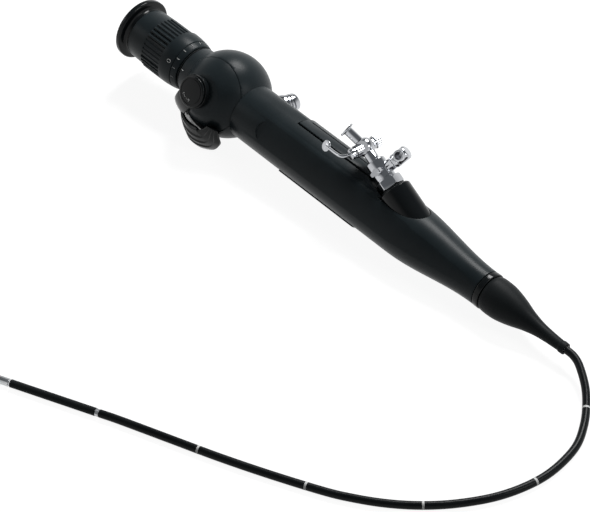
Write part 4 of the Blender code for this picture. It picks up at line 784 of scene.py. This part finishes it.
def make_ball():
    reach = BALL_RADIUS + 0.005
    opening = block("opening", (COVER_LOW_X, -reach, -reach), (COVER_HIGH_X, -SPLIT_PLANE, reach))
    housing = cut(ball_shell("ball_body"), opening, post_hole())
    dress(round_edges(housing, 0.00012, 50.0, 1), satin, "ball_housing")
    keep = block("keeper", (COVER_LOW_X + SEAT_GAP, -HUB_FLAT, -reach),
                 (COVER_HIGH_X - SEAT_GAP, -SPLIT_PLANE - SEAT_GAP, reach))
    cover = meet(ball_shell("lever_cover"), keep)
    boss = rod_along("boss", LEVER_CENTRE, HUB_SIDE, 0.0135, HUB_FLAT - 0.0001, COVER_BOSS_RADIUS)
    hole = rod_along("hole", LEVER_CENTRE, HUB_SIDE, 0.0, BALL_RADIUS + 0.002, COVER_HOLE_RADIUS)
    cut(join(cover, boss), hole)
    dress(round_edges(cover, 0.00012, 50.0, 1), satin, "side_cover")


def on_lever_sphere(polar, around, radius):
    polar = math.radians(polar)
    around = math.radians(around)
    return Vector((math.sin(polar) * math.cos(around), -math.cos(polar),
                   math.sin(polar) * math.sin(around))) * radius


RIBBED_SECTION = (
    (-0.50, 0.20), (-0.46, 0.40), (-0.22, 0.48), (-0.18, 0.62), (0.00, 0.67), (0.04, 0.80), (0.20, 0.84),
    (0.24, 0.96), (0.44, 1.00), (0.50, 0.75), (0.43, 0.00), (0.15, 0.00), (-0.15, 0.00), (-0.46, 0.00),
)
PLAIN_SECTION = (
    (-0.50, 0.50), (-0.46, 0.90), (0.00, 1.00), (0.46, 0.90), (0.50, 0.50), (0.46, 0.00), (0.00, 0.00),
    (-0.46, 0.00),
)
NEAR_EDGE = ((0.0, 50.0), (0.2, 48.0), (0.5, 44.0), (0.8, 44.0), (1.0, 42.0))
FAR_EDGE = (
    (0.0, 58.0), (0.1, 68.0), (0.19, 77.0), (0.33, 74.0), (0.48, 72.0), (0.63, 74.0), (0.75, 77.0),
    (0.84, 71.0), (0.91, 62.0), (1.0, 54.0),
)
LIP_EDGE = ((0.17, 78.0), (0.27, 80.0), (0.37, 84.0), (0.47, 86.0), (0.55, 86.0), (0.67, 77.0))
PADDLE_RISE = (
    (0.0, 0.0009), (0.17, 0.0027), (0.33, 0.0050), (0.5, 0.0074), (0.6, 0.0083), (0.7, 0.0084),
    (0.8, 0.0077), (1.0, 0.0054),
)


def swept_ball_radius(polar, around):
    """How far the inside of the lever stays from its centre to clear the ball over the whole swing."""
    reach = math.sin(math.radians(polar)) * math.cos(math.radians(around) + LEVER_HALF_SWING)
    return BALL_RADIUS + LEVER_GAP - LEVER_AXIS_X * reach


def lever_band(name, stations, section):
    """A band round the lever's centre, from stations of (polar, around, radius, width, depth)."""
    centres = [on_lever_sphere(polar, around, radius) for polar, around, radius, width, depth in stations]
    rings = []
    for index, (polar, around, radius, width, depth) in enumerate(stations):
        before = centres[max(index - 1, 0)]
        after = centres[min(index + 1, len(centres) - 1)]
        outward = centres[index].normalized()
        side = (after - before).normalized().cross(outward).normalized()
        ring = []
        for share, height in section:
            tilt = share * width / radius
            direction = outward * math.cos(tilt) + side * math.sin(tilt)
            ring.append(direction * (radius - depth * (1.0 - height)))
        rings.append(ring)
    lines = [curve_through(line, 5) for line in zip(*rings)]
    return loft(name, list(zip(*lines)), LEVER_CENTRE)


def between(value, table):
    """Reads a value from rows of (position, value)."""
    for (low, first), (high, last) in zip(table, table[1:]):
        if value <= high:
            return first + (last - first) * max(0.0, value - low) / (high - low)
    return table[-1][1]


def paddle_stations():
    stations = []
    for step in range(13):
        share = step / 12
        around = PADDLE_START_ANGLE + PADDLE_SPAN_ANGLE * share
        radius = BALL_RADIUS + between(share, PADDLE_RISE)
        near = between(share, NEAR_EDGE)
        far = between(share, FAR_EDGE)
        width = math.radians(far - near) * radius
        inside = swept_ball_radius((near + far) / 2, around) + 0.0026 * max(0.0, share - 0.6)
        stations.append(((near + far) / 2, around, radius, width, radius - inside))
    return stations


def lip_stations():
    stations = []
    for step in range(9):
        share = 0.17 + 0.50 * step / 8
        around = PADDLE_START_ANGLE + PADDLE_SPAN_ANGLE * share
        near = between(share, FAR_EDGE) - 8.0
        far = between(share, LIP_EDGE)
        radius = swept_ball_radius(far, around) + LIP_THICKNESS
        stations.append(((near + far) / 2, around, radius, math.radians(far - near) * radius, LIP_THICKNESS))
    return stations


def arm_stations():
    stations = []
    for step in range(5):
        share = step / 4
        stations.append((12.0 + 46.0 * share, -122.0 - 2.0 * share, BALL_RADIUS + 0.0020 + 0.0006 * share,
                         0.0115 - 0.0015 * share, 0.0018))
    return stations


def make_lever():
    paddle = lever_band("thumb_lever_body", paddle_stations(), RIBBED_SECTION)
    lip = lever_band("lip", lip_stations(), PLAIN_SECTION)
    arm = lever_band("arm", arm_stations(), RIBBED_SECTION)
    hub = turned("hub", [(HUB_BOTTOM, HUB_RADIUS - 0.0002), (HUB_BOTTOM + 0.0003, HUB_RADIUS),
                         (HUB_TOP, HUB_RADIUS)], None, LEVER_CENTRE, HUB_SIDE)
    below = rod_along("below", LEVER_CENTRE, HUB_SIDE, 0.0, HUB_BOTTOM, HUB_RADIUS + 0.003)
    above = rod_along("above", LEVER_CENTRE, HUB_SIDE, HUB_TOP, HUB_TOP + 0.01, HUB_RADIUS + 0.0005)
    bore = rod_along("bore", LEVER_CENTRE, HUB_SIDE, 0.010, 0.030, 0.0026)
    join(paddle, lip, arm, hub)
    cut(paddle, below, above, bore)
    dress(round_edges(paddle, 0.00018, 40.0, 2), gloss, "deflection_lever", body="thumb_lever")


def make_hub_cap():
    start = HUB_TOP + SMALL_GAP
    cap = [(start, HUB_CAP_RADIUS), (start + HUB_CAP_THICKNESS * 0.6, HUB_CAP_RADIUS)]
    for share in (0.95, 0.9, 0.85, 0.7, 0.5, 0.3, 0.15):
        cap.append((start + HUB_CAP_THICKNESS * (1.0 - 0.28 * share ** 2), HUB_CAP_RADIUS * share * 0.97))
    disc = turned("hub_cap_disc", cap, None, LEVER_CENTRE, HUB_SIDE, edge=0.00035)
    low = start + 0.00115
    high = start + 0.003
    groove = turned("groove", [(low, 0.0064), (high, 0.0064)], [(low, 0.0061), (high, 0.0061)], LEVER_CENTRE,
                    HUB_SIDE, edge=0.0)
    dress(cut(disc, groove), gloss, "hub_cap", body="thumb_lever")
    for side in (1, -1):
        line = []
        for turn, reach in ((6, 1.0), (14, 1.0), (22, 1.0), (30, 1.0), (38, 1.0), (29, 0.80), (38, 1.0),
                            (30, 1.17)):
            angle = math.radians(-110.0 + side * turn)
            line.append((LEVER_AXIS_X + ARROW_RADIUS * reach * math.cos(angle),
                         -(start + HUB_CAP_THICKNESS * 0.97), ARROW_RADIUS * reach * math.sin(angle)))
        dress(wire_mesh(f"turn_arrow_{side + 2}", line, 0.00014), mark_paint, body="thumb_lever")


# Grip

SHELL_START_X = math.sqrt(BALL_RADIUS ** 2 - GRIP_RADIUS ** 2) + SEAT_GAP
SHELL_BORE_X = math.sqrt(BALL_RADIUS ** 2 - GRIP_BORE ** 2) + SEAT_GAP
PAD_START_X = PORT_CROSSING_X - PAD_TO_PORT - PAD_LENGTH
PORT_CROSSING = Vector((PORT_CROSSING_X, 0, 0))
PORT_UP = Vector((0, *around_grip(1.0, PORT_LEAN)))
PORT_OUT = lean(-X_AXIS, PORT_UP, PORT_ANGLE)
PORT_RISE = lean(X_AXIS, PORT_UP, 90.0 - PORT_ANGLE)
PORT_FAR = PORT_OUT.cross(PORT_RISE)
POST_OUT = Vector((0, *around_grip(1.0, POST_ANGLE - 90.0)))


def port_point(distance):
    return PORT_CROSSING + PORT_OUT * distance


def grip_radius_at(x):
    if x <= TAPER_START_X:
        return GRIP_RADIUS
    share = min(1.0, (x - TAPER_START_X) / (GRIP_END_X - TAPER_START_X))
    return GRIP_RADIUS - (GRIP_RADIUS - GRIP_END_RADIUS) * (1.0 - math.cos(math.pi * share)) / 2


def grip_profile(start, inset, steps=40):
    points = [(start, GRIP_RADIUS - inset)]
    for step in range(steps + 1):
        x = TAPER_START_X + (GRIP_END_X - TAPER_START_X) * step / steps
        points.append((x, grip_radius_at(x) - inset))
    return points


def pad_outline(inner, outer, half_angle, side, steps=20):
    outline = []
    for step in range(steps + 1):
        outline.append(around_grip(outer, -half_angle + 2 * half_angle * step / steps))
    for step in range(steps + 1):
        outline.append(around_grip(inner, half_angle - 2 * half_angle * step / steps))
    return [(side * y, side * z) for y, z in outline]


def flat_cutter():
    half = FLAT_HALF_WIDTH
    rows = []
    for step in range(13):
        share = step / 12
        rise = GRIP_RADIUS - (GRIP_RADIUS - FLAT_DISTANCE) * min(1.0, 0.35 + 0.65 * share)
        rows.append((FLAT_START_X + FLAT_ARCH * (1.0 - math.cos(math.pi / 2 * share)),
                     half * max(0.12, math.sin(math.pi / 2 * share)), rise))
    rows.append((TAPER_START_X + 0.004, half, FLAT_DISTANCE))
    for step in range(1, 11):
        x = TAPER_START_X + 0.004 + 0.043 * step / 10
        rows.append((x, half * (1.0 - 0.5 * step / 10), grip_radius_at(x) - 0.0013 * (1.0 - step / 12)))
    out = Vector((0, *around_grip(1.0, FLAT_ANGLE)))
    sideways = X_AXIS.cross(out)
    rings = []
    for x, width, depth in rows:
        low = X_AXIS * x + out * depth
        high = X_AXIS * x + out * (GRIP_RADIUS + 0.002)
        rings.append([low - sideways * width, low + sideways * width,
                      high + sideways * width, high - sideways * width])
    return loft("flat", rings)


def make_pad(name, node, side):
    outline = pad_outline(GRIP_RADIUS - PAD_DEPTH, GRIP_RADIUS + PAD_RISE, PAD_HALF_ANGLE, side)
    pad = prism(name, outline, PAD_LENGTH, (PAD_START_X, 0, 0))
    top = GRIP_RADIUS + PAD_RISE
    slot = block("slot", (PAD_START_X + 0.003, -PAD_SLOT_WIDTH / 2, side * (top - 0.0008)),
                 (PAD_START_X + PAD_LENGTH - 0.003, PAD_SLOT_WIDTH / 2, side * (top + 0.002)))
    cut(pad, slot)
    dress(round_edges(pad, 0.00022, 50.0, 2), satin, node, slot="black_rubber")


def pad_pocket(side):
    half_angle = PAD_HALF_ANGLE + math.degrees(PAD_SLOT_WIDTH / GRIP_RADIUS)
    outline = pad_outline(GRIP_RADIUS - PAD_DEPTH - SEAT_GAP, GRIP_RADIUS + 0.002, half_angle, side)
    return prism("pocket", outline, PAD_LENGTH + 2 * PAD_SLOT_WIDTH, (PAD_START_X - PAD_SLOT_WIDTH, 0, 0))


def make_grip():
    shell = turned("grip_shell", grip_profile(SHELL_START_X, 0.0), grip_profile(SHELL_BORE_X, GRIP_WALL),
                   edge=0.0003)
    boss_hole = BOSS_RADIUS + SEAT_GAP
    hole = rod("hole", port_point(BOSS_START - 0.002), port_point(BOSS_END), boss_hole, STEPS)
    nut_room = rod("nut_room", port_point(BOSS_END - 0.001), port_point(0.055), NUT_FLATS * 0.61, STEPS)
    collar = rod("collar", port_point(BOSS_START), port_point(0.050), boss_hole + COLLAR_WALL, STEPS)
    meet(collar, turned("core", grip_profile(SHELL_BORE_X, 0.0007), edge=0.0))
    join(shell, collar)
    cut(shell, hole, nut_room, post_hole(), pad_pocket(1), pad_pocket(-1), flat_cutter())
    dress(round_edges(shell, 0.00015, 40.0, 2), satin, "handle_shell")
    make_pad("upper_pad", "front_pad", 1)
    make_pad("lower_pad", "back_pad", -1)


def make_light_post():
    seat = GRIP_RADIUS + SEAT_GAP
    outer = [
        (POST_START, POST_STEM_RADIUS),
        (seat, POST_STEM_RADIUS),
        (seat, POST_RADIUS),
        (0.0162, POST_RADIUS),
        (0.0166, POST_RADIUS - 0.0004),
    ]
    for distance, step in ((0.0166, -0.0003), (0.0176, -0.0003), (0.0176, 0.0007), (0.0186, 0.0007),
                           (0.0186, -0.0005), (0.0196, -0.0005), (0.0196, 0.0004),
                           (POST_LENGTH - 0.0006, 0.0002), (POST_LENGTH, -0.0002)):
        outer.append((distance, POST_TIP_RADIUS + step))
    hole = FIBRE_RADIUS + SMALL_GAP
    bore = [(POST_START, hole), (POST_LENGTH, hole)]
    post = turned("light_post_body", outer, bore, (POST_X, 0, 0), POST_OUT, edge=0.00015)
    dress(post, chrome, "light_post")


# Ports and taps

TAP_AXIS = lean(PORT_FAR, PORT_RISE, TAP_AXIS_TILT)
LUER_OUT = lean(PORT_OUT, -PORT_FAR, LUER_TURN)
BRANCH_OUT = lean(PORT_RISE, PORT_FAR, BRANCH_LEAN)
VALVE_AXIS = lean(-PORT_FAR, PORT_RISE, VALVE_TILT)
HEAD = PORT_CROSSING + PORT_OUT * HEAD_DISTANCE
NUT_START = BOSS_END + SMALL_GAP + GASKET_THICKNESS + SMALL_GAP
ADAPTOR_START = NUT_START + 0.0002
SHOULDER = ADAPTOR_START + ADAPTOR_LENGTH
BRANCH_BASE = port_point(BRANCH_DISTANCE)


def make_port_base():
    outer = [(BOSS_START, BOSS_RADIUS), (BOSS_END - 0.0008, BOSS_RADIUS), (BOSS_END, BOSS_RADIUS - 0.0008)]
    hole = CHANNEL_RADIUS + 0.0003
    boss = turned("port_boss_body", outer, [(BOSS_START, hole), (BOSS_END, hole)], PORT_CROSSING, PORT_OUT)
    dress(boss, gloss, "port_boss")
    low = BOSS_END + SMALL_GAP
    high = low + GASKET_THICKNESS
    seal = turned("port_seal", [(low, 0.0060), (high, 0.0060)], [(low, 0.0036), (high, 0.0036)],
                  PORT_CROSSING, PORT_OUT)
    dress(seal, rubber, "port_gasket")
    corner = NUT_FLATS / 2 / math.cos(math.pi / 6)
    low = NUT_START
    high = NUT_START + NUT_HEIGHT
    nut = turned("hex_nut", [(low, corner), (high, corner)], None, PORT_CROSSING, PORT_OUT, 6,
                 lean(PORT_RISE, PORT_FAR, -18.0), edge=0.0)
    barrel = turned("chamfer", [(low - 0.001, corner - 0.0013), (low + 0.0005, corner - 0.0001),
                                (high - 0.0005, corner - 0.0001), (high + 0.001, corner - 0.0013)],
                    None, PORT_CROSSING, PORT_OUT, edge=0.0)
    meet(nut, barrel)
    cut(nut, rod("bore", port_point(low - 0.002), port_point(high + 0.002), ADAPTOR_RADIUS + RUNNING_GAP))
    dress(round_edges(nut, 0.00012, 25.0, 2), chrome, "port_nut", sharp=25.0)


def make_adaptor():
    groove_low = NUT_START + NUT_HEIGHT + 0.0006
    groove_high = groove_low + 0.0004
    outer = [
        (ADAPTOR_START, ADAPTOR_RADIUS),
        (groove_low, ADAPTOR_RADIUS),
        (groove_low, ADAPTOR_RADIUS - 0.0002),
        (groove_high, ADAPTOR_RADIUS - 0.0002),
        (groove_high, ADAPTOR_RADIUS),
        (SHOULDER - 0.0004, ADAPTOR_RADIUS),
        (SHOULDER, ADAPTOR_RADIUS - 0.0004),
        (SHOULDER, NECK_TUBE_RADIUS),
        (HEAD_DISTANCE - HEAD_RADIUS * 0.5, NECK_TUBE_RADIUS),
    ]
    body = turned("adaptor_barrel", outer, None, PORT_CROSSING, PORT_OUT)
    ball = turned("head", arc(HEAD_RADIUS, -HEAD_RADIUS, HEAD_RADIUS, 32), None, HEAD, PORT_FAR, edge=0.0)
    barrel = rod_along("barrel", HEAD, TAP_AXIS, TAP_BARREL_START, TAP_BARREL_END, TAP_BARREL_RADIUS, 52)
    facet = rod_along("facet", HEAD, VALVE_AXIS, HEAD_FACET, HEAD_FACET + 0.004, HEAD_RADIUS)
    join(body, ball)
    cut(body, facet)
    join(body, barrel)
    cut(
        body,
        rod_along("tap_bore", HEAD, TAP_AXIS, -0.010, 0.010, TAP_PLUG_RADIUS + RUNNING_GAP),
        rod("channel", port_point(ADAPTOR_START - 0.002), HEAD, CHANNEL_RADIUS),
        rod_along("luer_channel", HEAD, LUER_OUT, 0.0, 0.008, CHANNEL_RADIUS),
        rod_along("valve_bore", BRANCH_BASE, VALVE_AXIS, -0.008, 0.008, VALVE_PLUG_RADIUS + RUNNING_GAP),
    )
    dress(round_edges(body, 0.00010, 45.0, 2), chrome, "adaptor_body")


def make_luer_port():
    lip = 0.0008
    outer = [
        (HEAD_RADIUS * 0.7, LUER_RADIUS),
        (LUER_LENGTH - lip - 0.0004, LUER_RADIUS),
        (LUER_LENGTH - lip, LUER_FLANGE_RADIUS),
        (LUER_LENGTH, LUER_FLANGE_RADIUS),
    ]
    taper_end = LUER_LENGTH - 0.0062
    bore = [
        (HEAD_RADIUS * 0.7, CHANNEL_RADIUS),
        (taper_end, CHANNEL_RADIUS),
        (taper_end, LUER_BORE - 0.0003),
        (LUER_LENGTH, LUER_BORE),
    ]
    port = turned("luer_fitting", outer, bore, HEAD, LUER_OUT, FINE_STEPS, edge=0.00018)
    reach = HEAD_RADIUS + SMALL_GAP
    seat = turned("seat", arc(reach, -reach, reach, 24), None, HEAD, PORT_FAR, edge=0.0)
    dress(cut(port, seat), chrome, "luer_port")


def make_branch():
    groove_end = SOCKET_DISTANCE - SOCKET_RADIUS
    outer = [
        (ADAPTOR_RADIUS * 0.75, BRANCH_RADIUS - 0.0005),
        (ADAPTOR_RADIUS + 0.0028, BRANCH_RADIUS - 0.0005),
        (ADAPTOR_RADIUS + 0.0032, BRANCH_RADIUS),
        (groove_end - 0.0004, BRANCH_RADIUS),
        (groove_end - 0.0004, BRANCH_RADIUS - 0.0004),
        (groove_end, BRANCH_RADIUS - 0.0004),
        (groove_end, BRANCH_RADIUS),
        (BRANCH_LENGTH - 0.0007, BRANCH_RADIUS),
        (BRANCH_LENGTH, BRANCH_RADIUS - 0.0008),
    ]
    branch = turned("suction_arm", outer, None, BRANCH_BASE, BRANCH_OUT, FINE_STEPS, edge=0.00035)
    socket_base = BRANCH_BASE + BRANCH_OUT * SOCKET_DISTANCE
    socket = rod_along("socket", socket_base, VALVE_AXIS, 0.0, SOCKET_LENGTH, SOCKET_RADIUS)
    seat = rod("seat", port_point(BRANCH_DISTANCE - 0.008), port_point(SHOULDER + 0.004),
               ADAPTOR_RADIUS + SMALL_GAP)
    bore = rod_along("bore", socket_base, VALVE_AXIS, -0.0012, 0.008, SOCKET_BORE)
    join(branch, socket)
    cut(branch, seat, bore)
    dress(round_edges(branch, 0.00015, 45.0, 2), chrome, "suction_branch")


def make_tap():
    hub_high = TAP_BARREL_START - RUNNING_GAP
    hub_bore = TAP_PLUG_RADIUS + SMALL_GAP
    outer = [(TAP_HUB_START, TAP_HUB_RADIUS), (hub_high, TAP_HUB_RADIUS)]
    lever = turned("tap_handle", outer, None, HEAD, TAP_AXIS, FINE_STEPS, edge=0.0003)
    reach = lean(PORT_OUT, TAP_AXIS.cross(PORT_OUT), TAP_LEVER_ANGLE)
    shape = ((0.05, 0.0), (0.06, 0.50), (0.13, 0.85), (0.27, 1.0), (0.50, 1.02), (0.75, 1.0), (1.0, 0.96))
    path = []
    for share, offset in shape:
        side = TAP_HUB_START + 0.0012 - TAP_LEVER_CRANK * offset
        path.append(HEAD + reach * (TAP_LEVER_REACH * share) + TAP_AXIS * side)
    arm = wire_mesh("arm", even_path(path, 40), 0.00075)
    half = 0.00055
    paddle = turned("paddle", [
        (-half, TAP_PADDLE_RADIUS - 0.0004),
        (-half * 0.4, TAP_PADDLE_RADIUS),
        (half * 0.4, TAP_PADDLE_RADIUS),
        (half, TAP_PADDLE_RADIUS - 0.0004),
    ], None, path[-1], VALVE_AXIS - reach * VALVE_AXIS.dot(reach), FINE_STEPS, edge=0.00015)
    join(lever, arm, paddle)
    cut(lever, rod_along("bore", HEAD, TAP_AXIS, TAP_HUB_START + 0.0006, hub_high + 0.001, hub_bore))
    dress(lever, chrome, "tap_lever", body="tap", sharp=40.0)
    nut_start = TAP_BARREL_END + RUNNING_GAP
    nut_end = nut_start + TAP_NUT_LENGTH
    nut = turned("knurled_nut", [
        (nut_start, TAP_BARREL_RADIUS - 0.0003),
        (nut_start + 0.0008, TAP_BARREL_RADIUS - 0.0003),
        (nut_start + 0.0008, TAP_NUT_RADIUS - 0.0001),
        (nut_end - 0.0004, TAP_NUT_RADIUS - 0.0001),
        (nut_end, TAP_NUT_RADIUS - 0.0005),
    ], None, HEAD, TAP_AXIS, FINE_STEPS, edge=0.00015)
    flutes = []
    for step in range(20):
        angle = math.tau * step / 20
        side = TAP_AXIS.cross(PORT_OUT) * math.sin(angle) + PORT_OUT * math.cos(angle)
        spot = HEAD + side * (TAP_NUT_RADIUS + 0.00002)
        flutes.append(rod_along("flute", spot, TAP_AXIS, nut_start + 0.0004, nut_end + 0.0004, 0.00028, 10))
    cut(nut, rod_along("bore", HEAD, TAP_AXIS, 0.0, 0.0076, hub_bore), *flutes)
    dress(nut, chrome, "tap_nut", body="tap")


def make_valve_key():
    low = ADAPTOR_RADIUS + RUNNING_GAP
    half = WING_LENGTH / 2
    outline = []
    for step in range(48):
        angle = math.tau * step / 48
        pinch = 0.62 + 0.38 * abs(math.cos(angle)) ** 0.7
        bulge = math.copysign(abs(math.sin(angle)) ** 0.6, math.sin(angle))
        outline.append((half * math.cos(angle), WING_WIDTH / 2 * bulge * pinch * 1.3))
    key = prism("valve_key", outline, WING_THICKNESS, BRANCH_BASE + VALVE_AXIS * low, VALVE_AXIS, PORT_RISE)
    join(key, rod_along("hub", BRANCH_BASE, VALVE_AXIS, low, low + WING_THICKNESS + 0.0004, 0.0018))
    cut(key, rod_along("bore", BRANCH_BASE, VALVE_AXIS, 0.0, low + 0.0012, VALVE_PLUG_RADIUS + SMALL_GAP))
    dress(round_edges(key, 0.0002, 40.0, 2), chrome, "wing_key", body="suction_valve")


# Boot, insertion tube and tip

def make_boot():
    ring_start = GRIP_END_X + SEAT_GAP
    ring_end = ring_start + RING_LENGTH
    ring_bore = FERRULE_HEAD_RADIUS + 0.0012
    ring = turned("boot_collar", [
        (ring_start, GRIP_END_RADIUS - 0.0002), (ring_start + 0.0003, GRIP_END_RADIUS + 0.0001),
        (ring_end - 0.0003, GRIP_END_RADIUS + 0.0001), (ring_end, GRIP_END_RADIUS - 0.0003),
    ], [(ring_start, ring_bore), (ring_end, ring_bore)])
    dress(ring, gloss, "boot_ring")
    start = ring_end + SEAT_GAP
    body = BOOT_TIP_X - start
    shape = ((0.0, 0.0085), (0.05, 0.0090), (0.17, 0.0089), (0.28, 0.0080), (0.38, 0.0068),
             (0.50, 0.0051), (0.64, 0.0037), (0.78, 0.0030), (0.93, 0.0026), (0.95, 0.0029), (1.0, 0.0028))
    smooth = curve_through([(share, radius * 100, 0.0) for share, radius in shape[:9]], 6)
    outer = [(start + body * point.x, point.y / 100) for point in smooth]
    outer += [(start + body * share, radius) for share, radius in shape[9:]]
    step_x = FERRULE_X + 0.006 + SEAT_GAP
    neck_x = FERRULE_X + FERRULE_LENGTH + SEAT_GAP
    bore = [
        (start, FERRULE_HEAD_RADIUS + SEAT_GAP),
        (step_x, FERRULE_HEAD_RADIUS + SEAT_GAP),
        (step_x, FERRULE_RADIUS + SEAT_GAP),
        (neck_x, FERRULE_RADIUS + SEAT_GAP),
        (neck_x, TUBE_RADIUS + SEAT_GAP),
        (BOOT_TIP_X, TUBE_RADIUS + SEAT_GAP),
    ]
    dress(turned("strain_relief", outer, bore), rubber, "boot")


def joint_distance(number):
    return BASE_LENGTH + SEAT_GAP + LINK_PITCH * number


def tube_band(name, spots, outside, inside, start, along, edge):
    """A thin band on the tube, placed on the table's axes."""
    outer = [(spot, outside) for spot in spots]
    bore = [(spot, inside) for spot in spots]
    band = turned(name, outer, bore, edge=edge, steps=40)
    band.matrix_world = Matrix.Translation(start) @ axes_matrix(along)
    return band


def make_marks(path):
    """Pale bands round the tube at equal distances from its tip."""
    marks = []
    runs = running_lengths(path)
    total = runs[-1]
    tip = joint_distance(LINKS) + TIP_LENGTH + MARK_OFFSET
    number = 1
    while MARK_SPACING * number < tip + total - 0.01:
        target = total + tip - MARK_SPACING * number
        if target < total:
            spot, along = spot_on_path(path, runs, target)
            band = tube_band(f"depth_mark_{number}", (-MARK_HALF_WIDTH, MARK_HALF_WIDTH),
                             TUBE_RADIUS + 0.00002, TUBE_RADIUS - 0.0002, spot, along, 0.00001)
            marks.append(dress(band, mark_paint))
        number += 1
    return marks


def make_sleeve():
    """One length of rubber round each joint, from the middle of one link to the middle of the next."""
    followed = ["handle"] + [f"link_{number}" for number in range(1, LINKS)] + ["tip"]
    pieces = []
    for number in range(LINKS):
        low = joint_distance(number) - LINK_PITCH / 2
        high = joint_distance(number) + LINK_PITCH / 2
        start = SEAT_GAP + 0.0018 if number == 0 else low
        finish = joint_distance(LINKS) - 0.0004 if number == LINKS - 1 else high
        spots = [start + (finish - start) * step / 12 for step in range(13)]
        piece = tube_band(f"bending_sleeve_{number + 1}", spots, TUBE_RADIUS, TUBE_RADIUS - SLEEVE_WALL,
                          CHAIN_START, CHAIN_ALONG, 0.0)
        dress(piece, rubber, "bending_rubber", body=followed[number])
        piece.parent = None
        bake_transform(piece)
        pieces.append(piece)
    return pieces


def make_tube():
    exit_point = HANDLE @ Vector((BOOT_TIP_X + SEAT_GAP, 0, 0))
    path = even_path([exit_point] + [Vector(point) + STAND for point in TUBE_ROUTE], 240)
    tube = wire("tube", path, TUBE_RADIUS, Matrix.Identity(4), 8)
    tube.data.materials.append(skin)
    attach(tube, "handle")
    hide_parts("insertion_tube")
    nodes = frame["nodes"]
    carried = make_marks(path) + make_sleeve()
    carried += [nodes[name] for name in ("bending_base", "distal_tip", "objective_lens")]
    carried += [nodes[f"bending_link_{number + 1}"] for number in range(LINKS)]
    running_lengths(path)[-1]


# Finish of the solids that stay as they are

def paint_solids():
    links = [f"bending_link_{number + 1}" for number in range(LINKS)]
    finishes = (
        (fibre_face, ["light_fibre_face"]),
        (coated_glass, ["objective_lens", "ocular_lens_front", "ocular_lens_rear"]),
        (bearing_bronze, ["shaft_bushing"]),
        (sheath, ["light_bundle", "image_bundle", "channel_tube"]),
        (plain_aluminium, ["eyepiece_tube", "ocular_cell", "chassis", "bulkhead_rear", "bulkhead_front",
                           "bundle_holder"]),
        (turned_steel, ["distal_tip", "lever_shaft", "wire_drum", "focus_pin", "tap_plug", "valve_plug",
                        "pull_wire_up", "pull_wire_down", "coil_pipe_up", "coil_pipe_down",
                        "tube_ferrule", "bending_base", *links]),
    )
    for surface, names in finishes:
        for name in names:
            for slot in frame["nodes"][name].material_slots:
                slot.material = surface


# Floor, light and camera

def make_stage():
    shape = bmesh.new()
    bmesh.ops.create_grid(shape, x_segments=1, y_segments=1, size=4.0)
    floor = as_object("floor", shape, Matrix.Translation((0, 0, -0.0001)))
    floor.data.materials.append(floor_material())


def area_light(name, location, aim, width, height, power):
    lamp = bpy.data.lights.new(name, "AREA")
    lamp.shape = "RECTANGLE"
    lamp.size = width
    lamp.size_y = height
    lamp.energy = power
    item = bpy.data.objects.new(name, lamp)
    bpy.context.scene.collection.objects.link(item)
    item.location = location
    item.rotation_euler = (Vector(aim) - Vector(location)).to_track_quat("-Z", "Y").to_euler()


def make_lights():
    """A key from above and behind, two weak fills, and a sky that is white low down and grey overhead."""
    area_light("key_light", (-0.30, 0.80, 1.15), (0, 0, 0), 0.60, 0.50, 20.0)
    area_light("fill_light", (1.00, 0.30, 0.85), (0.05, 0, 0), 0.40, 0.40, 3.0)
    area_light("side_light", (-0.90, -0.60, 0.60), (0, 0, 0), 0.40, 0.40, 0.8)
    world = bpy.data.worlds.new("studio")
    bpy.context.scene.world = world
    world.use_nodes = True
    tree = world.node_tree
    height = add(tree, "SeparateXYZ", Vector=add(tree, "TexCoord").outputs["Generated"]).outputs["Z"]
    sky = tint(tree, height, (1.0, 1.0, 1.0), (0.16, 0.17, 0.18), 0.20, 0.65)
    strength = add(tree, "MapRange", Value=seen_directly(tree), To_Min=SKY_ON_DULL, To_Max=1.0)
    fill(tree, tree.nodes["Background"], Color=sky, Strength=strength.outputs["Result"])


def make_camera():
    lens = bpy.data.cameras.new("camera")
    lens.sensor_width = SENSOR_WIDTH
    lens.lens = FOCAL_PIXELS * SENSOR_WIDTH / PHOTO_WIDTH
    lens.clip_start = 0.01
    camera = bpy.data.objects.new("camera", lens)
    bpy.context.scene.collection.objects.link(camera)
    forward = Vector(CAMERA_FORWARD).normalized()
    right = Vector(CAMERA_RIGHT).normalized()
    above = right.cross(forward)
    turn = Matrix((right, above, -forward)).transposed().to_4x4()
    camera.matrix_world = Matrix.Translation(CAMERA_PLACE) @ turn
    bpy.context.scene.camera = camera


make_camera()
make_lights()
make_stage()
make_tube()
make_eyepiece()
make_focus_ring()
make_dial_marks()
make_focus_seal()
make_ball()
make_lever()
make_hub_cap()
make_grip()
make_light_post()
make_port_base()
make_adaptor()
make_luer_port()
make_branch()
make_tap()
make_valve_key()
make_boot()
paint_solids()

bpy.context.scene.view_settings.view_transform = "Standard"
